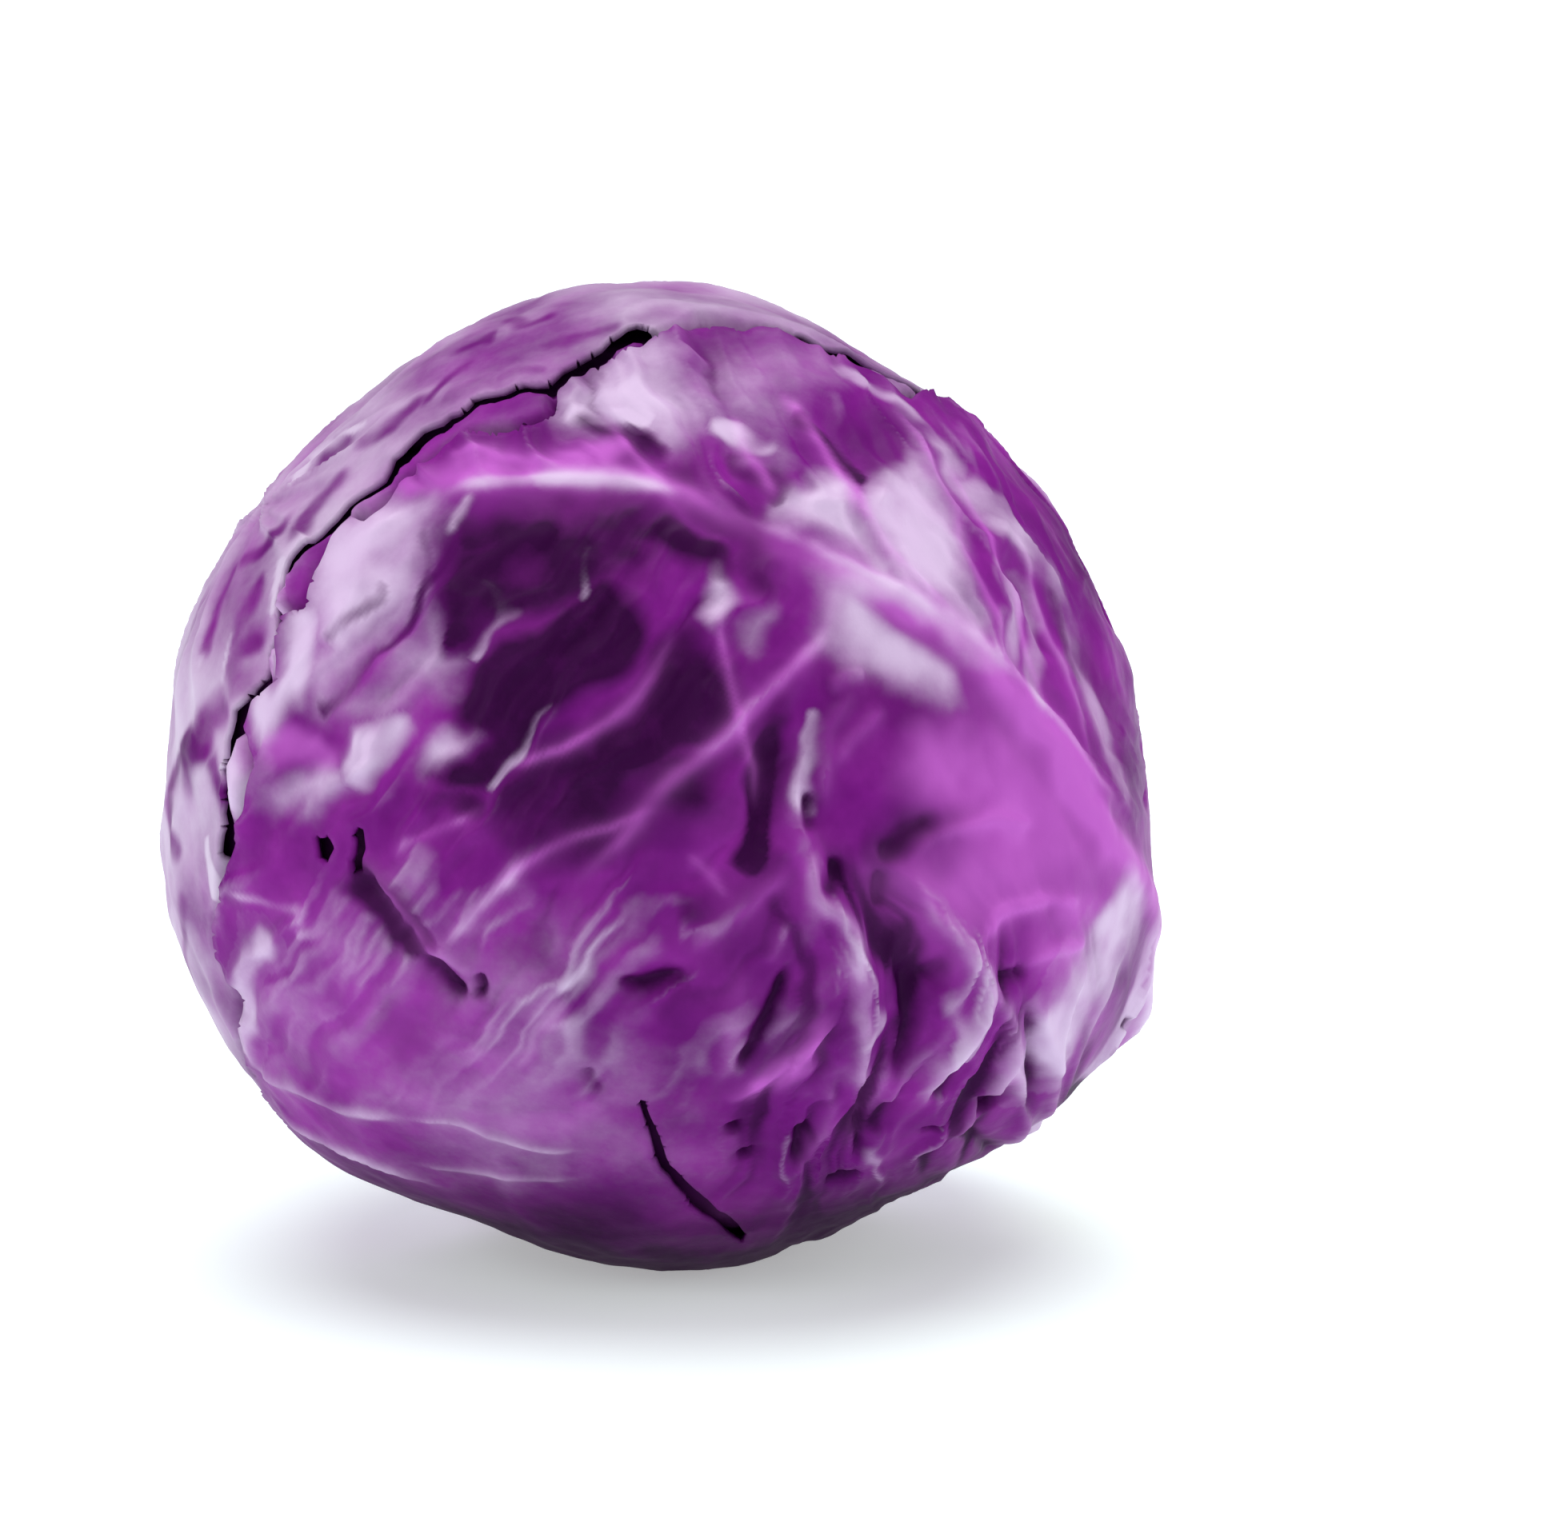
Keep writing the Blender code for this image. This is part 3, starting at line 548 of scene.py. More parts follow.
# Dark patches: dark flesh, partly with painted shade.
DEEP_PATCHES = [
    (0.045, 0.90, [(-0.37, 0.52), (-0.21, 0.52), (-0.05, 0.51), (0.12, 0.45)]),
    (0.060, 0.55, [(0.05, 0.60), (0.17, 0.53), (0.21, 0.44)]),
    (0.012, 0.50, [(-0.58, 0.39), (-0.61, 0.35), (-0.65, 0.32), (-0.68, 0.28)]),
    (0.016, 0.60, [(-0.46, 0.42), (-0.50, 0.37), (-0.54, 0.30), (-0.60, 0.24), (-0.64, 0.18), (-0.69, 0.14)]),
    (0.028, 1.00, [(0.21, 0.11), (0.21, -0.05), (0.18, -0.18)]),
    (0.026, 0.95, [(-0.41, 0.30), (-0.38, 0.31)]),
    (0.029, 0.75, [(-0.14, 0.75), (-0.09, 0.70), (-0.02, 0.65)]),
    (0.018, 0.85, [(0.28, 0.74), (0.33, 0.69), (0.38, 0.63)]),
    (0.016, 0.60, [(0.17, 0.67), (0.21, 0.61), (0.24, 0.57)]),
    (0.042, 0.50, [(0.05, -0.29), (0.12, -0.25), (0.21, -0.20)]),
    (0.015, 0.50, [(-0.47, 0.49), (-0.49, 0.42), (-0.51, 0.34)]),
    # Painted shade along the bottom of the head.
    (0.098, 0.60, [(-0.21, -0.94), (0.04, -0.96), (0.28, -0.90)]),
    (0.033, 0.60, [(-0.46, -0.03), (-0.37, -0.05)]),
    (0.026, 0.50, [(0.82, 0.36), (0.85, 0.27), (0.88, 0.21)]),
]
PINK_PATCHES = [
    (0.042, 0.70, [(-0.50, 0.61), (-0.37, 0.64), (-0.24, 0.65), (-0.14, 0.67)]),
    (0.100, 0.70, [(0.60, 0.01), (0.70, -0.07), (0.77, -0.18), (0.82, -0.29)]),
    (0.040, 0.40, [(-0.44, -0.55), (-0.34, -0.59), (-0.24, -0.52)]),
    (0.065, 0.35, [(-0.37, -0.73), (-0.21, -0.75)]),
    (0.034, 0.30, [(-0.16, -0.69), (-0.18, -0.73), (-0.19, -0.77)]),
    (0.033, 0.50, [(0.30, -0.59), (0.20, -0.65)]),
    (0.030, 0.60, [(-0.79, 0.06), (-0.74, 0.07), (-0.69, 0.04)]),
]
BACK_DEEP = [
    (0.018, 0.30, [(-0.43, 0.78), (-0.39, 0.79), (-0.35, 0.79)]),
    (0.016, 0.40, [(-0.34, 0.80), (-0.30, 0.82), (-0.26, 0.82)]),
    (0.020, 0.60, [(-0.50, 0.78), (-0.47, 0.81), (-0.44, 0.84)]),
    (0.024, 0.60, [(-0.61, 0.71), (-0.57, 0.74), (-0.53, 0.77)]),
    (0.026, 0.60, [(-0.73, 0.64), (-0.70, 0.66), (-0.67, 0.69)]),
    (0.030, 0.50, [(-0.73, 0.53), (-0.70, 0.58), (-0.66, 0.62)]),
    (0.024, 0.60, [(-0.85, 0.45), (-0.82, 0.48), (-0.78, 0.52)]),
    (0.022, 0.60, [(-0.86, 0.29), (-0.84, 0.36), (-0.82, 0.40)]),
    (0.020, 0.70, [(-0.92, 0.27), (-0.91, 0.33), (-0.88, 0.41)]),
    (0.030, 0.65, [(-0.86, 0.20), (-0.86, 0.26), (-0.83, 0.31)]),
    (0.045, 0.95, [(-0.96, 0.03), (-0.93, 0.07), (-0.92, 0.12), (-0.89, 0.15)]),
    (0.028, 0.60, [(-0.88, -0.05), (-0.90, -0.01), (-0.91, 0.02)]),
    (0.022, 0.70, [(-0.98, -0.12), (-0.99, -0.05), (-0.97, 0.01)]),
    (0.020, 0.50, [(-0.93, -0.38), (-0.95, -0.29), (-0.96, -0.23)]),
    (0.018, 0.55, [(-0.31, 0.93), (-0.27, 0.93), (-0.22, 0.94)]),
    (0.018, 0.50, [(-0.44, 0.87), (-0.40, 0.89), (-0.37, 0.90)]),
    (0.022, 0.35, [(-0.21, 0.88), (-0.14, 0.89), (-0.08, 0.90)]),
]
BACK_BLOOM = [
    (0.022, 0.95, [(-0.79, 0.36), (-0.78, 0.40), (-0.76, 0.45)]),
    (0.016, 0.85, [(-0.89, 0.18), (-0.88, 0.24), (-0.87, 0.29)]),
    (0.014, 0.70, [(-0.96, 0.14), (-0.94, 0.21), (-0.92, 0.27)]),
    (0.020, 0.95, [(-0.78, 0.60), (-0.71, 0.68), (-0.63, 0.73)]),
    (0.018, 0.90, [(-0.90, -0.25), (-0.92, -0.18), (-0.93, -0.12)]),
    (0.014, 0.90, [(-0.88, 0.01), (-0.87, 0.03), (-0.87, 0.05)]),
]


class Leaf:
    """A leaf's node, its place round the stem, its sheet and the size of its mesh's cells in head radii."""

    def __init__(self, name, azimuth, sheet, cell, seed):
        self.name, self.azimuth, self.sheet, self.cell, self.seed = name, azimuth, sheet, cell, seed


def whole_edge(azimuth, width, tip, seed):
    """The sheet of an untorn leaf: its half width and how far its tip reaches from its middle, in degrees."""
    half = [(0.2 * width, -73), (0.52 * width, -58), (0.85 * width, -25), (width, 0.15 * tip),
            (0.88 * width, 0.6 * tip), (0.5 * width, 0.9 * tip)]
    points = [(0, -74), *half, (0, tip), *[(-across, along) for across, along in reversed(half)]]
    curve = smooth_curve(points, steps=20, closed=True)
    places = np.append(curve, np.zeros((len(curve), 1)), axis=1)
    swell = smoothstep((curve[:, 1] + 70) / 30)
    waves = 0.030 * lattice_noise(places, 14, seed) + 0.012 * lattice_noise(places, 4, seed + 1)
    curve *= (1 + swell * waves)[:, None]
    return Sheet(from_stem(azimuth, 85), curve)


def torn(directions, size=0.02, depth=0.007, seed=3):
    """A closed edge with small uneven teeth between its points."""
    points = []
    for a, b in zip(directions, np.roll(directions, -1, 0)):
        count = max(1, round(np.linalg.norm(b - a) / size))
        points += [a + (b - a) * n / count for n in range(count)]
    points = np.array(points)
    teeth = np.stack([rough_noise(points, 0.05, 3, seed + axis) for axis in range(3)], axis=1)
    return unit(points + depth * teeth)


TORN_EDGE = [
    (0.524, 0.795), (0.377, 0.876), (0.345, 0.876), (0.247, 0.909), (0.085, 0.925), (0.020, 0.893),
    (-0.046, 0.860), (-0.143, 0.828), (-0.208, 0.787), (-0.224, 0.730), (-0.273, 0.702), (-0.403, 0.689),
    (-0.468, 0.649), (-0.533, 0.600), (-0.598, 0.511), (-0.631, 0.519), (-0.647, 0.502), (-0.696, 0.405),
    (-0.720, 0.332), (-0.761, 0.315), (-0.777, 0.193), (-0.829, 0.145), (-0.850, 0.096), (-0.810, 0.015),
    (-0.842, -0.099), (-0.867, -0.180), (-0.883, -0.294), (-0.875, -0.359), (-0.834, -0.424),
    (-0.818, -0.522), (-0.785, -0.620), (-0.728, -0.725), (-0.659, -0.795), (-0.514, -0.868)]
FAR_EDGE = [(-0.46, 0.04, -0.885), (-0.36, 0.16, -0.92), (-0.19, 0.36, -0.91), (0.10, 0.52, -0.82)]
BASE_EDGE = [
    (150, 35), (120, 21), (85, 15), (55, 13.5), (25, 12.5), (0, 12.2), (-20, 12.5), (-45, 14), (-62, 19)]
RIGHT_EDGE = [(0.96, 0.27, -0.05), (0.92, 0.30, 0.25), (0.76, 0.24, 0.60), (0.62, 0.10, 0.76)]
CURLED_HOLE = [
    (-0.623, -0.099), (-0.602, -0.109), (-0.595, -0.148), (-0.607, -0.197), (-0.624, -0.200),
    (-0.631, -0.172), (-0.621, -0.140)]
SMALL_HOLE = [(-0.709, -0.128), (-0.676, -0.125), (-0.663, -0.148), (-0.676, -0.177), (-0.702, -0.171)]
LOWER_TEAR = [
    (-0.050, -0.673), (-0.036, -0.676), (-0.010, -0.741), (0.013, -0.802), (0.065, -0.855), (0.125, -0.904),
    (0.174, -0.945), (0.166, -0.964), (0.109, -0.928), (0.044, -0.876), (-0.008, -0.815), (-0.029, -0.750)]


def front_sheet():
    edge = [direction(place) for place in TORN_EDGE + FAR_EDGE]
    edge += [from_stem(*place) for place in BASE_EDGE] + [direction(place) for place in RIGHT_EDGE]
    holes = [torn(np.array([direction(place) for place in hole]), depth=0.004)
             for hole in (CURLED_HOLE, SMALL_HOLE, LOWER_TEAR)]
    return Sheet(direction((0.10, -1.0, -0.15)), torn(np.array(edge)), holes, squeeze=0.72)


# From the heart outwards.
LEAVES = [
    Leaf("heart_leaf_front", 35, whole_edge(35, 86, 84, 11), 0.022, 11),
    Leaf("heart_leaf_under", 172, whole_edge(172, 90, 88, 12), 0.022, 12),
    Leaf("heart_leaf_top", -51, whole_edge(-51, 92, 86, 13), 0.016, 13),
    Leaf("lower_wrapper_leaf", 86, whole_edge(86, 98, 92, 14), 0.015, 14),
    Leaf("back_wrapper_leaf", -145, whole_edge(-145, 104, 118, 15), 0.0115, 15),
    Leaf("front_wrapper_leaf", 0, front_sheet(), 0.0076, 16),
]


def layers_over(directions, first):
    """How deep the outside of what lies under the leaves from number first on is, in head radii."""
    return sum(LAYER * leaf.sheet.cover(directions) for leaf in LEAVES[first:]) + np.zeros(len(directions))


def place_on_head(directions, over, height):
    """Points so high over a layer so deep, and none lower than the surface that the head rests on."""
    down = np.maximum(-directions[:, 2], 1e-6)
    pressed = np.where(directions[:, 2] < 0, (MIDDLE[2] / RADIUS - over) / down, np.inf)
    distance = np.minimum(head_surface(directions) - over + height, pressed)
    points = MIDDLE + RADIUS * directions * distance[:, None]
    points[:, 2] = np.maximum(points[:, 2], RADIUS * over)
    return points


def vein_tree(skin, azimuth, seed, rib=1.0):
    """A leaf's rib, from the stem to its tip, and the veins that branch off it on both sides."""
    rng = np.random.default_rng(seed)
    reaches = np.linspace(8, 158, 16)
    bend = 4 * np.sin(reaches / 40 + seed)
    places = [from_stem(azimuth + b, r) for b, r in zip(bend, reaches)]
    effects = {"height": 0.050 * rib, "pink": 0.5, "bloom_and_highlight": 0.75, "deep": -0.4}
    skin.stroke_on(0.085, effects, places, root=True)
    skin.stroke_on(0.018, {"height": 0.006, "bloom_and_highlight": 0.4}, places, root=True)
    for side in (-1, 1):
        for number, start in enumerate((17, 26, 36, 48, 60, 73, 88, 103, 118)):
            start += rng.uniform(-3, 3)
            sweep = rng.uniform(62, 84) * (1 - number * 0.045)
            length = rng.uniform(60, 84) * (1 - number * 0.05)
            share = np.linspace(0, 1, 12)
            turns = azimuth + 3 * np.sin(start / 40 + seed) + side * sweep * share**1.15
            outs = start + length * share**0.85 + 2.5 * np.sin(7 * share + start)
            vein = [from_stem(t, r) for t, r in zip(turns, outs)]
            effects = {"height": 0.016, "bloom_and_highlight": 0.42, "pink": 0.5}
            skin.stroke_on(0.026 - 0.0012 * number, effects, vein, root=True)
            for at in (3, 5, 7):
                fork = rng.choice((-1, 1)) * rng.uniform(14, 24)
                twig = [from_stem(turns[at] + side * s * abs(fork), outs[at] + s * fork)
                        for s in np.linspace(0, 1, 6)]
                skin.stroke_on(0.010, {"height": 0.006, "bloom_and_highlight": 0.25, "pink": 0.35}, twig, root=True)


def around_stem(directions, rib):
    """How many degrees round the stem from a leaf's rib, and how many out from the stem."""
    azimuth = np.degrees(np.arctan2(directions @ ROUND_STEM, directions @ FRONT_RIB))
    return (azimuth - rib + 180) % 360 - 180, np.degrees(np.arccos(np.clip(directions @ STEM_AXIS, -1, 1)))


def crests(directions, rib, seed):
    """Sharp crests with round valleys between, which run out from the stem. 0 to 1."""
    azimuth, reach = around_stem(directions, rib)
    spokes = azimuth / 16 * np.sin(np.radians(np.minimum(reach + 12, 90)))
    places = np.stack([spokes, reach / 34, np.zeros(len(reach))], axis=1)
    places += 0.35 * np.stack([rough_noise(directions, 0.2, 2, seed + n) for n in range(3)], axis=1)
    return 1 - np.abs(0.7 * lattice_noise(places, 1.0, seed) + 0.3 * lattice_noise(places, 0.5, seed + 1))


def crumple(skin, rib, seed, rough=1.0, wax_and_highlight=1.0):
    """The swells and puckers that every leaf has, its uneven wax, and painted highlights on its crests with
    painted shade between them.
    """
    spots = skin.directions
    swells = 0.010 * lattice_noise(spots, 0.42, seed) + 0.004 * rough_noise(spots, 0.13, 3, seed + 1)
    skin.height += rough * swells
    folds = crests(spots, rib, seed + 2)
    skin.height += rough * 0.011 * (folds**2 - 0.5)
    skin.tones["bloom_and_highlight"] += wax_and_highlight * (0.22 * rough_noise(spots, 0.22, 3, seed + 5) + 0.22 * (folds**3 - 0.4))
    skin.tones["deep"] += 0.22 * rough_noise(spots, 0.30, 3, seed + 9) - 0.18 * (folds**3 - 0.4)


def streaks(face, along, width, length, seed):
    """Sharp streaks that run along one way on the face. 0 to 1."""
    x, z = face.T
    run, side = x * along[0] + z * along[1], x * along[1] - z * along[0]
    places = np.stack([side / width, run / length, np.zeros(len(x))], axis=1)
    return 1 - np.abs(0.65 * lattice_noise(places, 1.0, seed) + 0.35 * lattice_noise(places, 0.45, seed + 1))


def pleat(skin, depth):
    """Deep pleats down the lower right of the face, bowed out to the right."""
    x, z = skin.face.T
    bow, bow_height, bow_length = 0.14, -0.42, 0.28
    bowed = np.stack([x - bow * np.exp(-(((z - bow_height) / bow_length) ** 2)), z], axis=1)
    near = smoothstep((0.40 - skin.directions @ face_to_world((0, 1, 0))) / 0.4)
    amount = near * smoothstep((bowed[:, 0] - 0.02) / 0.25) * smoothstep((-0.10 - z) / 0.30)
    amount *= 1 - 0.6 * smoothstep((x - 0.66) / 0.15) * smoothstep((z + 0.62) / 0.2)
    wide = streaks(bowed, (0.0, -1.0), 0.080, 0.50, 21)
    fine = streaks(bowed, (-0.1, -1.0), 0.034, 0.26, 25)
    folds = 0.72 * wide**2 + 0.28 * fine**2
    near_outline = smoothstep((np.hypot(x, z) - 0.86) / 0.12)
    skin.height += depth * amount * (1 - 0.75 * near_outline) * (folds - 0.5)
    # Painted shade in the pleats' valleys and painted highlights on their crests.
    skin.tones["deep"] += 1.20 * amount * smoothstep((0.60 - folds) / 0.34)
    skin.tones["bloom_and_highlight"] += amount * (0.42 * smoothstep((folds - 0.80) / 0.18) - 0.05)


def rib_side(skin):
    """How far each place on the face is above the front leaf's midrib, in head radii."""
    x, z = skin.face.T
    return z - np.interp(x, (-0.6, -0.2, 0.1, 0.4, 0.7, 0.9), (0.56, 0.61, 0.55, 0.40, 0.19, -0.12))


def side_folds(skin):
    """Folds and streaks along the side veins: down to the left below the midrib, up to the left above it."""
    above = rib_side(skin)
    x, z = skin.face.T
    below = skin.seen * smoothstep(-above / 0.08) * smoothstep((0.45 - x) / 0.3)
    below *= smoothstep((z + 0.75) / 0.3)
    top = skin.seen * smoothstep(above / 0.08)
    for share, along, seed in ((below, (-0.62, -0.78), 31), (top, (-0.50, 0.87), 35)):
        for width, length, depth in ((0.048, 0.30, 0.015), (0.12, 0.50, 0.030)):
            lines = streaks(skin.face, along, width, length, seed)
            skin.height += depth * share * (lines**2 - 0.45)
            # Painted highlights along the streaks' crests and painted shade in the hollows between them.
            skin.tones["bloom_and_highlight"] += share * (0.26 * smoothstep((lines - 0.76) / 0.24) - 0.06)
            skin.tones["deep"] += 0.45 * share * smoothstep((0.64 - lines) / 0.4)
            skin.strength *= 1 + share * (0.6 * lines - 0.42)


def add_hidden_veins(skin):
    """Veins on the part of the front leaf that wraps round out of the face's sight."""
    hidden = Skin(skin.directions, 17)
    vein_tree(hidden, 0, 6, rib=0.8)
    turned_away = smoothstep((0.17 - skin.directions @ unit(face_to_world(EYE))) / 0.22)
    skin.height += turned_away * hidden.height
    for tone, values in hidden.tones.items():
        skin.tones[tone] += turned_away * values
    skin.tones["bloom_and_highlight"] += turned_away * (0.20 + 0.30 * rough_noise(skin.directions, 0.25, 3, 29))


def dress_front(skin):
    crumple(skin, 0, 16, rough=0.8, wax_and_highlight=0.35)
    pleat(skin, 0.060)
    side_folds(skin)
    low = skin.directions[:, 2]
    skin.tones["bloom_and_highlight"] -= 0.10
    # A little darker overall, and painted shade: much darker towards the bottom of the head.
    skin.tones["deep"] += 0.10 + 1.0 * smoothstep((-0.60 - low) / 0.30)
    add_hidden_veins(skin)
    above, across = rib_side(skin), skin.face[:, 0]
    beside = smoothstep((above + 0.30) / 0.14) * smoothstep((-above - 0.01) / 0.05)
    beside *= smoothstep((0.42 - across) / 0.2)
    skin.tones["bloom_and_highlight"] -= 0.40 * skin.seen * beside * smoothstep((across + 0.45) / 0.1)
    for tone, amount, fade, outline in AREAS:
        skin.area(tone, amount, fade, outline)
    for tone, patches in (("pink", PINK_PATCHES), ("bloom_and_highlight", BLOOM_AND_HIGHLIGHT_PATCHES), ("deep", DEEP_PATCHES)):
        for radius, amount, places in patches:
            skin.patch(tone, radius, amount, places)
    for strokes in (SIDE_VEINS, PLEATS, VALLEYS, MIDRIB):
        for width, effects, places in strokes:
            skin.stroke(width, effects, places)
    lower, middle = smoothstep((-0.10 - skin.face[:, 1]) / 0.25), np.exp(-(((across + 0.32) / 0.25) ** 2))
    skin.tones["bloom_and_highlight"] += (0.22 + 0.22 * middle) * skin.seen * lower
    # Painted shade near the bottom: no pale wax and less pink there.
    skin.tones["bloom_and_highlight"] *= 1 - 0.95 * smoothstep((-0.66 - low) / 0.25)
    skin.tones["pink"] *= 1 - 0.8 * smoothstep((-0.74 - low) / 0.15)
    skin.tones["bloom_and_highlight"] *= 1 - 0.85 * np.clip(1.3 * (skin.tones["deep"] - 0.28), 0, 1)
    skin.tones["pink"] *= 1 - 0.45 * np.clip(skin.tones["deep"], 0, 1)


def dress_back(skin):
    vein_tree(skin, -145, 5)
    crumple(skin, -145, 15, rough=1.5)
    skin.tones["bloom_and_highlight"] += 0.55
    for radius, amount, places in BACK_BLOOM:
        skin.patch("bloom_and_highlight", radius, amount, places)
    for radius, amount, places in BACK_DEEP:
        skin.patch("deep", radius, 0.4 * amount, places)
        skin.patch("bare", radius, amount, places)
    skin.tones["bloom_and_highlight"] *= 1 - 0.9 * np.clip(skin.tones["bare"], 0, 1)


def dress_plain(leaf):
    def dress(skin):
        vein_tree(skin, leaf.azimuth, leaf.seed, rib=0.5)
        crumple(skin, leaf.azimuth, leaf.seed)
        skin.tones["bloom_and_highlight"] += 0.25
    return dress


def leaf_grid(leaf):
    """The leaf's points on its chart and its four-sided cells, the outer points brought on to its edge."""
    cell = leaf.cell * 1.0
    low = np.min([loop.min(axis=0) for loop in leaf.sheet.loops], axis=0) - cell
    high = np.max([loop.max(axis=0) for loop in leaf.sheet.loops], axis=0) + cell
    columns, rows = np.ceil((high - low) / cell).astype(int)
    x, y = np.meshgrid(np.arange(columns), np.arange(rows), indexing="ij")
    places = low + cell * np.stack([x.ravel(), y.ravel()], axis=1)
    past, nearest = distance_past(places, leaf.sheet.loops)
    inside = (past < 0.45 * cell).reshape(columns, rows)
    corner = np.arange(columns * rows).reshape(columns, rows)
    whole = inside[:-1, :-1] & inside[1:, :-1] & inside[1:, 1:] & inside[:-1, 1:]
    cells = np.stack([corner[:-1, :-1], corner[1:, :-1], corner[1:, 1:], corner[:-1, 1:]], axis=-1)[whole]
    uses = np.bincount(cells.ravel(), minlength=len(places))
    rim = (uses > 0) & (uses < 4) & (np.abs(past) < 0.8 * cell)
    places[rim], past[rim] = nearest[rim], 0.0
    used = np.flatnonzero(uses)
    index = np.zeros(len(places), int)
    index[used] = np.arange(len(used))
    return places[used], past[used], index[cells]


def new_mesh_object(name, points, faces, tones, finish):
    mesh = bpy.data.meshes.new(name)
    mesh.from_pydata(points.tolist(), [], faces.tolist())
    for tone, values in tones.items():
        attribute = mesh.attributes.new(tone, "FLOAT", "POINT")
        attribute.data.foreach_set("value", np.clip(values, 0, 1).astype(np.float32))
    mesh.polygons.foreach_set("use_smooth", np.ones(len(mesh.polygons), bool))
    mesh.materials.append(finish)
    obj = bpy.data.objects.new(name, mesh)
    bpy.context.scene.collection.objects.link(obj)
    centre = np.mean(points[faces[0]], axis=0)
    if mesh.polygons[0].normal.dot(Vector(centre - MIDDLE)) < 0:
        mesh.flip_normals()
    return obj


def show(piece, node):
    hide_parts(node)
    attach(piece, "root")


def make_leaf(number, dress, finish):
    leaf = LEAVES[number]
    places, past, cells = leaf_grid(leaf)
    directions = leaf.sheet.directions(places)
    skin = Skin(directions, leaf.seed)
    dress(skin)
    over = layers_over(directions, number + 1)
    covered = smoothstep(over / LAYER)
    lift = 0.004 + 0.008 * lattice_noise(directions, 0.12, leaf.seed + 20)
    curl = np.exp(np.minimum(past, 0) / CURL_WIDTH) * lift
    curl *= smoothstep((directions[:, 2] + 0.95) / 0.35)
    height = (skin.height + curl) * (1 - 0.85 * covered)
    shade = smoothstep(2 * over / LAYER - 1)
    skin.tones["deep"] = np.maximum(skin.tones["deep"], 1.2 * shade)
    skin.tones["bloom_and_highlight"] *= 1 - shade
    skin.tones["pink"] *= 1 - 0.8 * shade
    points = place_on_head(directions, over, height)
    piece = new_mesh_object(leaf.name + "_blade", points, cells, skin.tones, finish)
    solidify = piece.modifiers.new("blade thickness", "SOLIDIFY")
    solidify.thickness = BLADE * RADIUS
    solidify.offset = -1.0
    solidify.shell_vertex_group = piece.vertex_groups.new(name="inside").name
    thin = piece.modifiers.new("plain inside", "DECIMATE")
    thin.vertex_group = "inside"
    thin.ratio = 0.56
    show(piece, leaf.name)
    return piece


class Wire:
    """A shader socket that Python's operators work on. Each one adds a Math node."""

    def __init__(self, finish, socket):
        self.finish, self.socket = finish, socket

    def math(self, operation, *values, clamp=False):
        settings = {"operation": operation, "use_clamp": clamp}
        return self.finish.node("ShaderNodeMath", settings, dict(enumerate(values)))

    def __add__(self, other):
        return self.math("ADD", self, other)

    def __sub__(self, other):
        return self.math("SUBTRACT", self, other)

    def __rsub__(self, other):
        return self.math("SUBTRACT", other, self)

    def __mul__(self, other):
        return self.math("MULTIPLY", self, other)

    __radd__, __rmul__ = __add__, __mul__

    def clamped(self):
        return self.math("ADD", self, 0.0, clamp=True)

    def between(self, low, high):
        """0 at low, 1 at high, and a smooth step from one to the other."""
        settings = {"interpolation_type": "SMOOTHSTEP"}
        inputs = {"Value": self, "From Min": low, "From Max": high}
        return self.finish.node("ShaderNodeMapRange", settings, inputs)


class Finish:
    """A material, and short ways to add nodes to it."""

    def __init__(self, name):
        self.material = bpy.data.materials.new(name)
        self.material.use_nodes = True
        self.tree = self.material.node_tree
        self.shader = self.tree.nodes["Principled BSDF"]

    def plug(self, socket, value):
        if isinstance(value, Wire):
            self.tree.links.new(value.socket, socket)
        elif value is not None:
            socket.default_value = value

    def node(self, kind, settings=None, inputs=None, output=0):
        made = self.tree.nodes.new(kind)
        for name, value in (settings or {}).items():
            setattr(made, name, value)
        for name, value in (inputs or {}).items():
            self.plug(made.inputs[name], value)
        return Wire(self, made.outputs[output])

    def tone(self, name):
        return self.node("ShaderNodeAttribute", {"attribute_name": name}, output="Fac")

    def place(self):
        return self.node("ShaderNodeTexCoord", output="Object")

    def noise(self, place, scale, detail=3.0, roughness=0.5):
        inputs = {"Vector": place, "Scale": scale, "Detail": detail, "Roughness": roughness}
        return self.node("ShaderNodeTexNoise", {}, inputs)

    def mix(self, share, under, over):
        colours = [(*c, 1.0) if isinstance(c, tuple) else c for c in (under, over)]
        inputs = {0: share, 6: colours[0], 7: colours[1]}
        return self.node("ShaderNodeMix", {"data_type": "RGBA"}, inputs, output=2)

    def bump(self, height, distance, strength=1.0):
        return self.node("ShaderNodeBump", {}, {"Height": height, "Distance": distance, "Strength": strength})

    def surface(self, **values):
        for name, value in values.items():
            self.plug(self.shader.inputs[name.replace("_", " ").title().replace("Ior", "IOR")], value)
        return self.material


PURPLE = (0.155, 0.006, 0.185)
MAGENTA = (0.26, 0.018, 0.29)
DEEP = (0.032, 0.001, 0.040)
PINK = (0.47, 0.10, 0.51)
WAX_AND_HIGHLIGHT = (0.66, 0.50, 0.72)


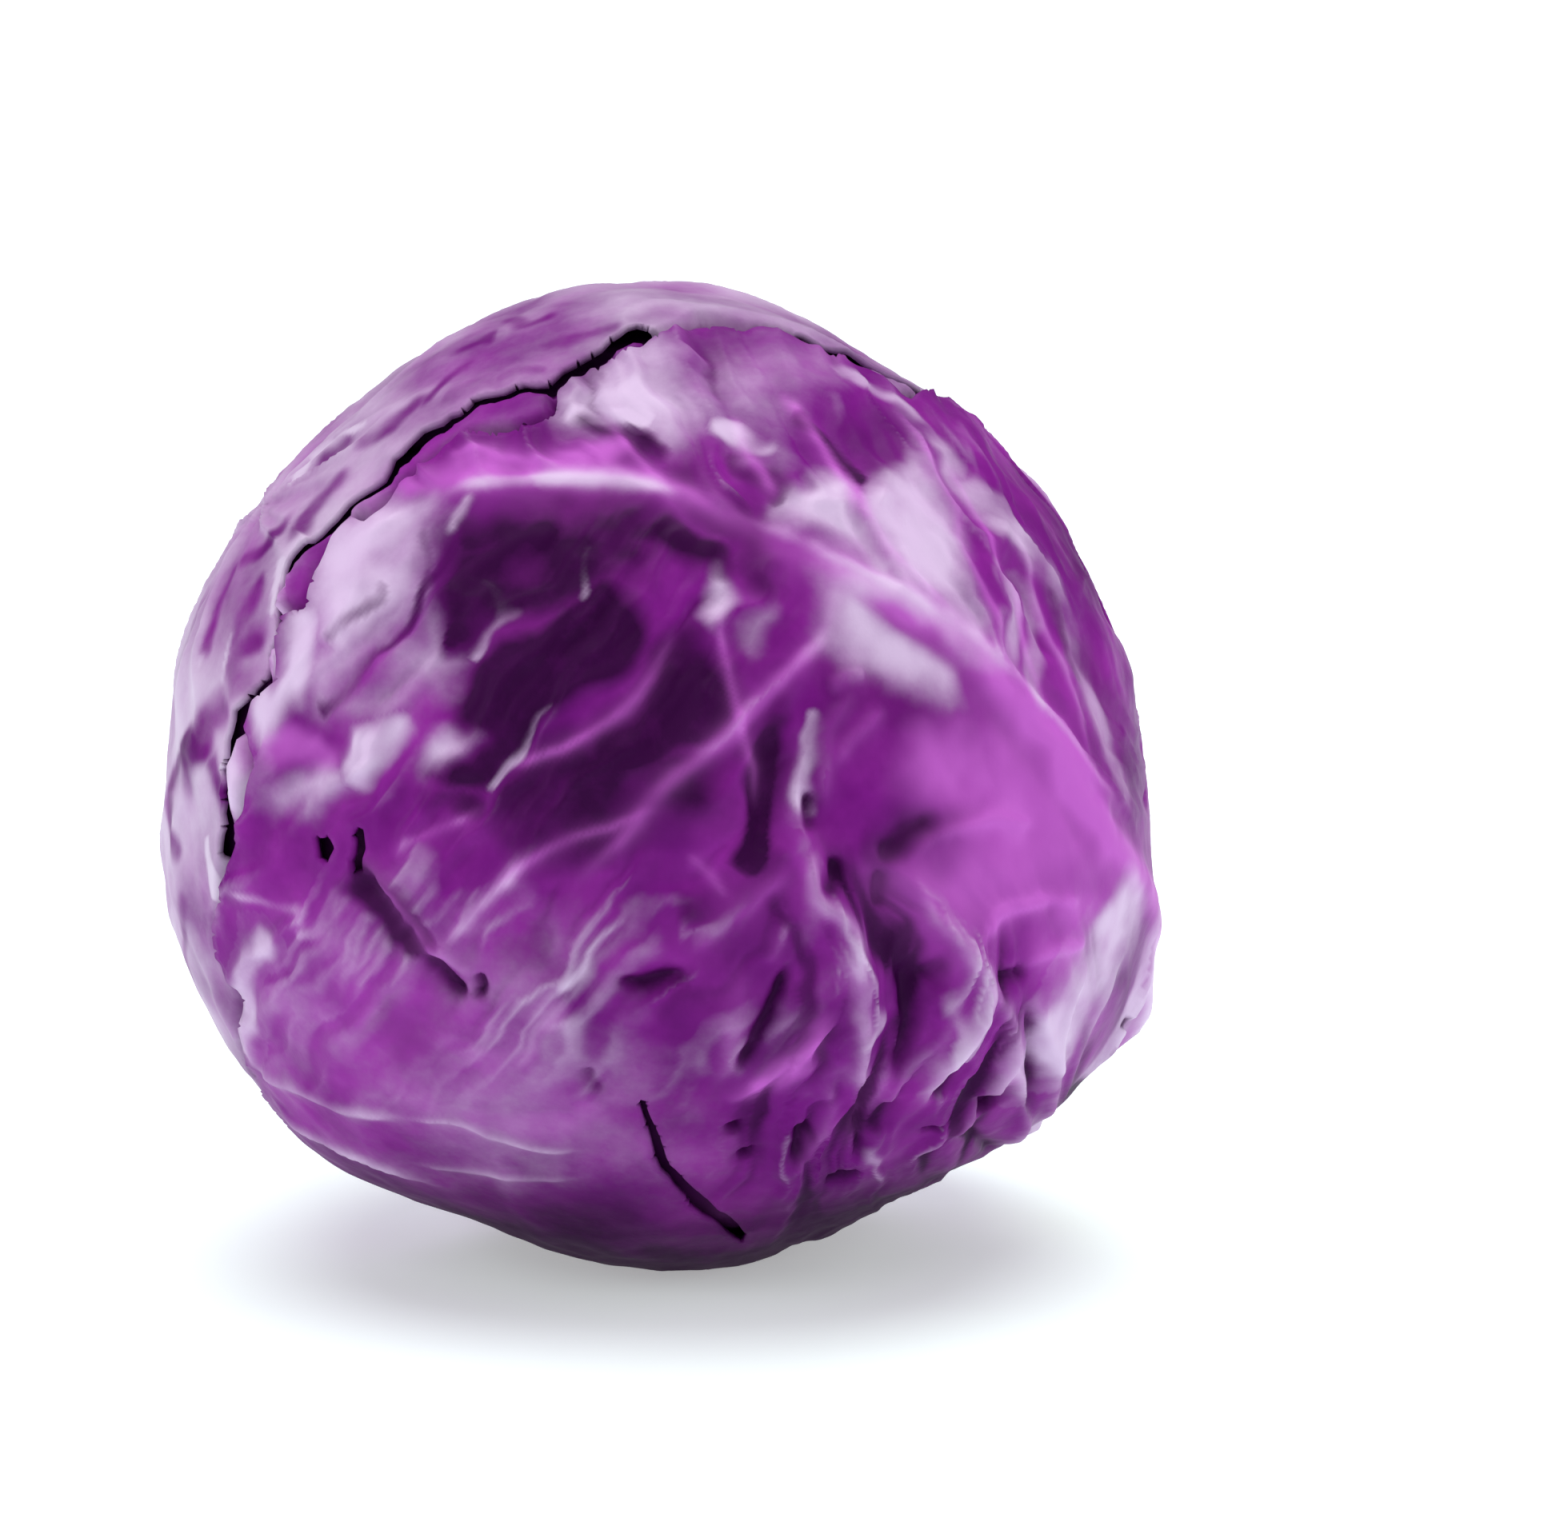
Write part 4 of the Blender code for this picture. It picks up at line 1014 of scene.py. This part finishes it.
def leaf_finish(name, greyness=0.0):
    """Purple flesh with pink veins and a pale waxy coat, which also carries painted highlights and
    reflections; glossy where the wax is thin.
    """
    finish = Finish(name)
    place = finish.place()
    cloud = finish.noise(place, 55.0, 4.0)
    speck = finish.noise(place, 420.0, 3.0, 0.6)
    fibre = finish.noise(place, 170.0, 4.0, 0.65)
    bloom_and_highlight = (finish.tone("bloom_and_highlight") + (cloud - 0.5) * 0.30 + (fibre - 0.5) * 0.30).between(0.08, 1.05) * 0.90
    deep = (finish.tone("deep") + (fibre - 0.5) * 0.35).clamped()
    pink = finish.tone("pink").clamped()
    flesh = finish.mix(cloud.between(0.35, 0.70), PURPLE, MAGENTA)
    flesh = finish.mix(deep, flesh, DEEP)
    flesh = finish.mix(pink, flesh, PINK)
    wax_and_highlight = tuple(c * (1 - greyness) + g * greyness for c, g in zip(WAX_AND_HIGHLIGHT, (0.55, 0.50, 0.58)))
    flesh = finish.mix(bloom_and_highlight, flesh, wax_and_highlight)
    bump = finish.bump(fibre * 0.6 + speck * 0.25, 0.00035, 0.5)
    return finish.surface(base_color=flesh, roughness=0.34 + bloom_and_highlight * 0.14 + deep * 0.16 + speck * 0.10,
                          specular_ior_level=0.045, coat_weight=bloom_and_highlight * 0.30, coat_roughness=0.2, normal=bump)


def stem_finish():
    """A cut stem: pale woody pith on its end, darker just under its skin, and lilac skin."""
    finish = Finish("cut_stem")
    place = finish.place()
    fibre = finish.noise(place, 300.0, 5.0, 0.65)
    cloud = finish.noise(place, 90.0, 3.0)
    flesh = finish.mix(cloud.between(0.3, 0.7), (0.70, 0.56, 0.50), (0.78, 0.68, 0.58))
    flesh = finish.mix(finish.tone("deep").clamped() * 0.7, flesh, (0.33, 0.13, 0.20))
    flesh = finish.mix(finish.tone("pink").clamped(), flesh, (0.55, 0.28, 0.52))
    flesh = finish.mix(fibre.between(0.52, 0.75) * 0.4, flesh, (0.30, 0.17, 0.12))
    bump = finish.bump(fibre, 0.0006, 0.6)
    return finish.surface(base_color=flesh, roughness=0.5 + fibre * 0.3, normal=bump)


def make_stem():
    """The cut stem, turned about its axis, with a dished end, a rounded rim and an uneven side."""
    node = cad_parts["stem_butt"]
    corners = np.array([vertex.co for vertex in node.data.vertices]) - MIDDLE
    heights = corners @ STEM_AXIS
    root, end = heights.min(), heights.max()
    width = np.linalg.norm(corners - heights[:, None] * STEM_AXIS, axis=1).max()
    rings = [(share, end - 0.0012 * (1 - share**2), 0) for share in np.linspace(0.03, 0.86, 20)]
    rings += [(0.93, end - 0.0001, 0.3), (0.98, end - 0.0007, 0.7), (1.0, end - 0.0016, 1)]
    rings += [(1.0, height, 1) for height in np.linspace(end - 0.0025, root, 16)]
    rings += [(share, root, 1) for share in (0.6, 0.05)]
    turns = np.linspace(0, 2 * math.pi, 120, endpoint=False)
    ring = np.multiply.outer(np.cos(turns), FRONT_RIB) + np.multiply.outer(np.sin(turns), ROUND_STEM)
    rows, tones = [], []
    for share, height, skin in rings:
        grain = rough_noise(ring * (0.4 + share) + height * 30, 0.35, 3, 7)
        rows.append(STEM_AXIS * (height - 0.0005 * np.abs(grain) * (1 - skin))[:, None]
                    + ring * (width * share * (1 + 0.03 * grain * skin))[:, None])
        dark_ring = math.exp(-((share - 0.80) / 0.07) ** 2)
        tones.append(np.stack([np.full(len(turns), float(skin)), np.full(len(turns), dark_ring)]))
    points = MIDDLE + np.concatenate(rows)
    count, first = len(turns), np.arange(len(rings) - 1)[:, None] * len(turns)
    around = np.arange(count)
    faces = np.stack([first + around, first + (around + 1) % count, first + count + (around + 1) % count,
                      first + count + around], axis=-1).reshape(-1, 4)
    pink, deep = np.concatenate(tones, axis=1)
    piece = new_mesh_object("stem_cut_end", points, faces, {"pink": pink, "deep": deep}, stem_finish())
    with_caps(piece)
    show(piece, "stem_butt")


def with_caps(piece):
    """Closes a mesh's open rings and turns its faces outwards."""
    shape = bmesh.new()
    shape.from_mesh(piece.data)
    bmesh.ops.holes_fill(shape, edges=[edge for edge in shape.edges if edge.is_boundary], sides=0)
    bmesh.ops.recalc_face_normals(shape, faces=shape.faces)
    shape.to_mesh(piece.data)
    shape.free()


def make_heart():
    """The closed heart: many small leaves pressed into one crumpled ball."""
    shape = bmesh.new()
    bmesh.ops.create_icosphere(shape, subdivisions=6, radius=1.0)
    directions = unit([vertex.co for vertex in shape.verts])
    faces = np.array([[vertex.index for vertex in face.verts] for face in shape.faces])
    shape.free()
    skin = Skin(directions, 2)
    vein_tree(skin, 110, 8, rib=0.3)
    crumple(skin, 110, 2, rough=1.0)
    over = layers_over(directions, 0)
    stem = directions @ STEM_AXIS > math.cos(STEM_REACH)
    height = np.minimum(skin.height, 0.006) - 0.004 - np.where(stem, SOCKET_DEPTH, 0)
    tones = {**skin.tones, "deep": skin.tones["deep"] + 0.4}
    piece = new_mesh_object("closed_heart", place_on_head(directions, over, height), faces, tones,
                            leaf_finish("heart_leaf"))
    show(piece, "heart")


def soft_light(name, place, size, power):
    """A square soft light at so many metres from the head, facing it."""
    light = bpy.data.lights.new(name, "AREA")
    light.shape, light.size, light.energy = "SQUARE", size, power
    put_light(light, place)


def put_light(light, place):
    obj = bpy.data.objects.new(light.name, light)
    obj.location = Vector(MIDDLE) + Vector(place)
    obj.rotation_euler = (-Vector(place)).to_track_quat("-Z", "Y").to_euler()
    bpy.context.scene.collection.objects.link(obj)


def make_lights():
    """One broad light over the whole floor, and a soft one at each side."""
    overhead = bpy.data.lights.new("overhead", "SUN")
    overhead.energy = 3.0
    overhead.angle = math.radians(64.0)
    put_light(overhead, (0.0, 0.12, 1.0))
    soft_light("left_light", (-1.2, -0.3, 0.45), 0.7, 5.0)
    soft_light("right_light", (1.2, -0.1, 0.45), 0.7, 5.0)
    soft_light("front_light", (-0.25, -1.2, 0.9), 0.5, 2.2)


def make_floor():
    bpy.ops.mesh.primitive_plane_add(size=60.0)
    floor = bpy.context.active_object
    floor.name = "floor"
    finish = Finish("pale_floor")
    white = (1.0, 1.0, 1.0, 1.0)
    floor.data.materials.append(finish.surface(base_color=(0.76, 0.88, 0.85, 1.0), roughness=0.8,
                                               emission_color=white, emission_strength=0.35))


def make_world():
    world = bpy.data.worlds.new("studio")
    world.use_nodes = True
    world.node_tree.nodes["Background"].inputs["Color"].default_value = (1.0, 1.0, 1.0, 1.0)
    world.node_tree.nodes["Background"].inputs["Strength"].default_value = 0.20
    bpy.context.scene.world = world


def make_camera():
    data = bpy.data.cameras.new("camera")
    data.sensor_width = 36.0
    data.lens = data.sensor_width * -EYE[1] / IMAGE_WIDTH
    camera = bpy.data.objects.new("camera", data)
    camera.location = Vector(MIDDLE + RADIUS * face_to_world(EYE))
    camera.rotation_euler = (math.pi / 2 - FACE_TILT, 0.0, 0.0)
    bpy.context.scene.collection.objects.link(camera)
    bpy.context.scene.camera = camera


make_floor()
make_world()
make_camera()
make_lights()
bpy.context.scene.view_settings.view_transform = "Standard"

make_stem()
make_heart()
for number in range(4):
    make_leaf(number, dress_plain(LEAVES[number]), leaf_finish(LEAVES[number].name))
make_leaf(4, dress_back, leaf_finish("back_leaf", greyness=0.35))
make_leaf(5, dress_front, leaf_finish("front_leaf"))
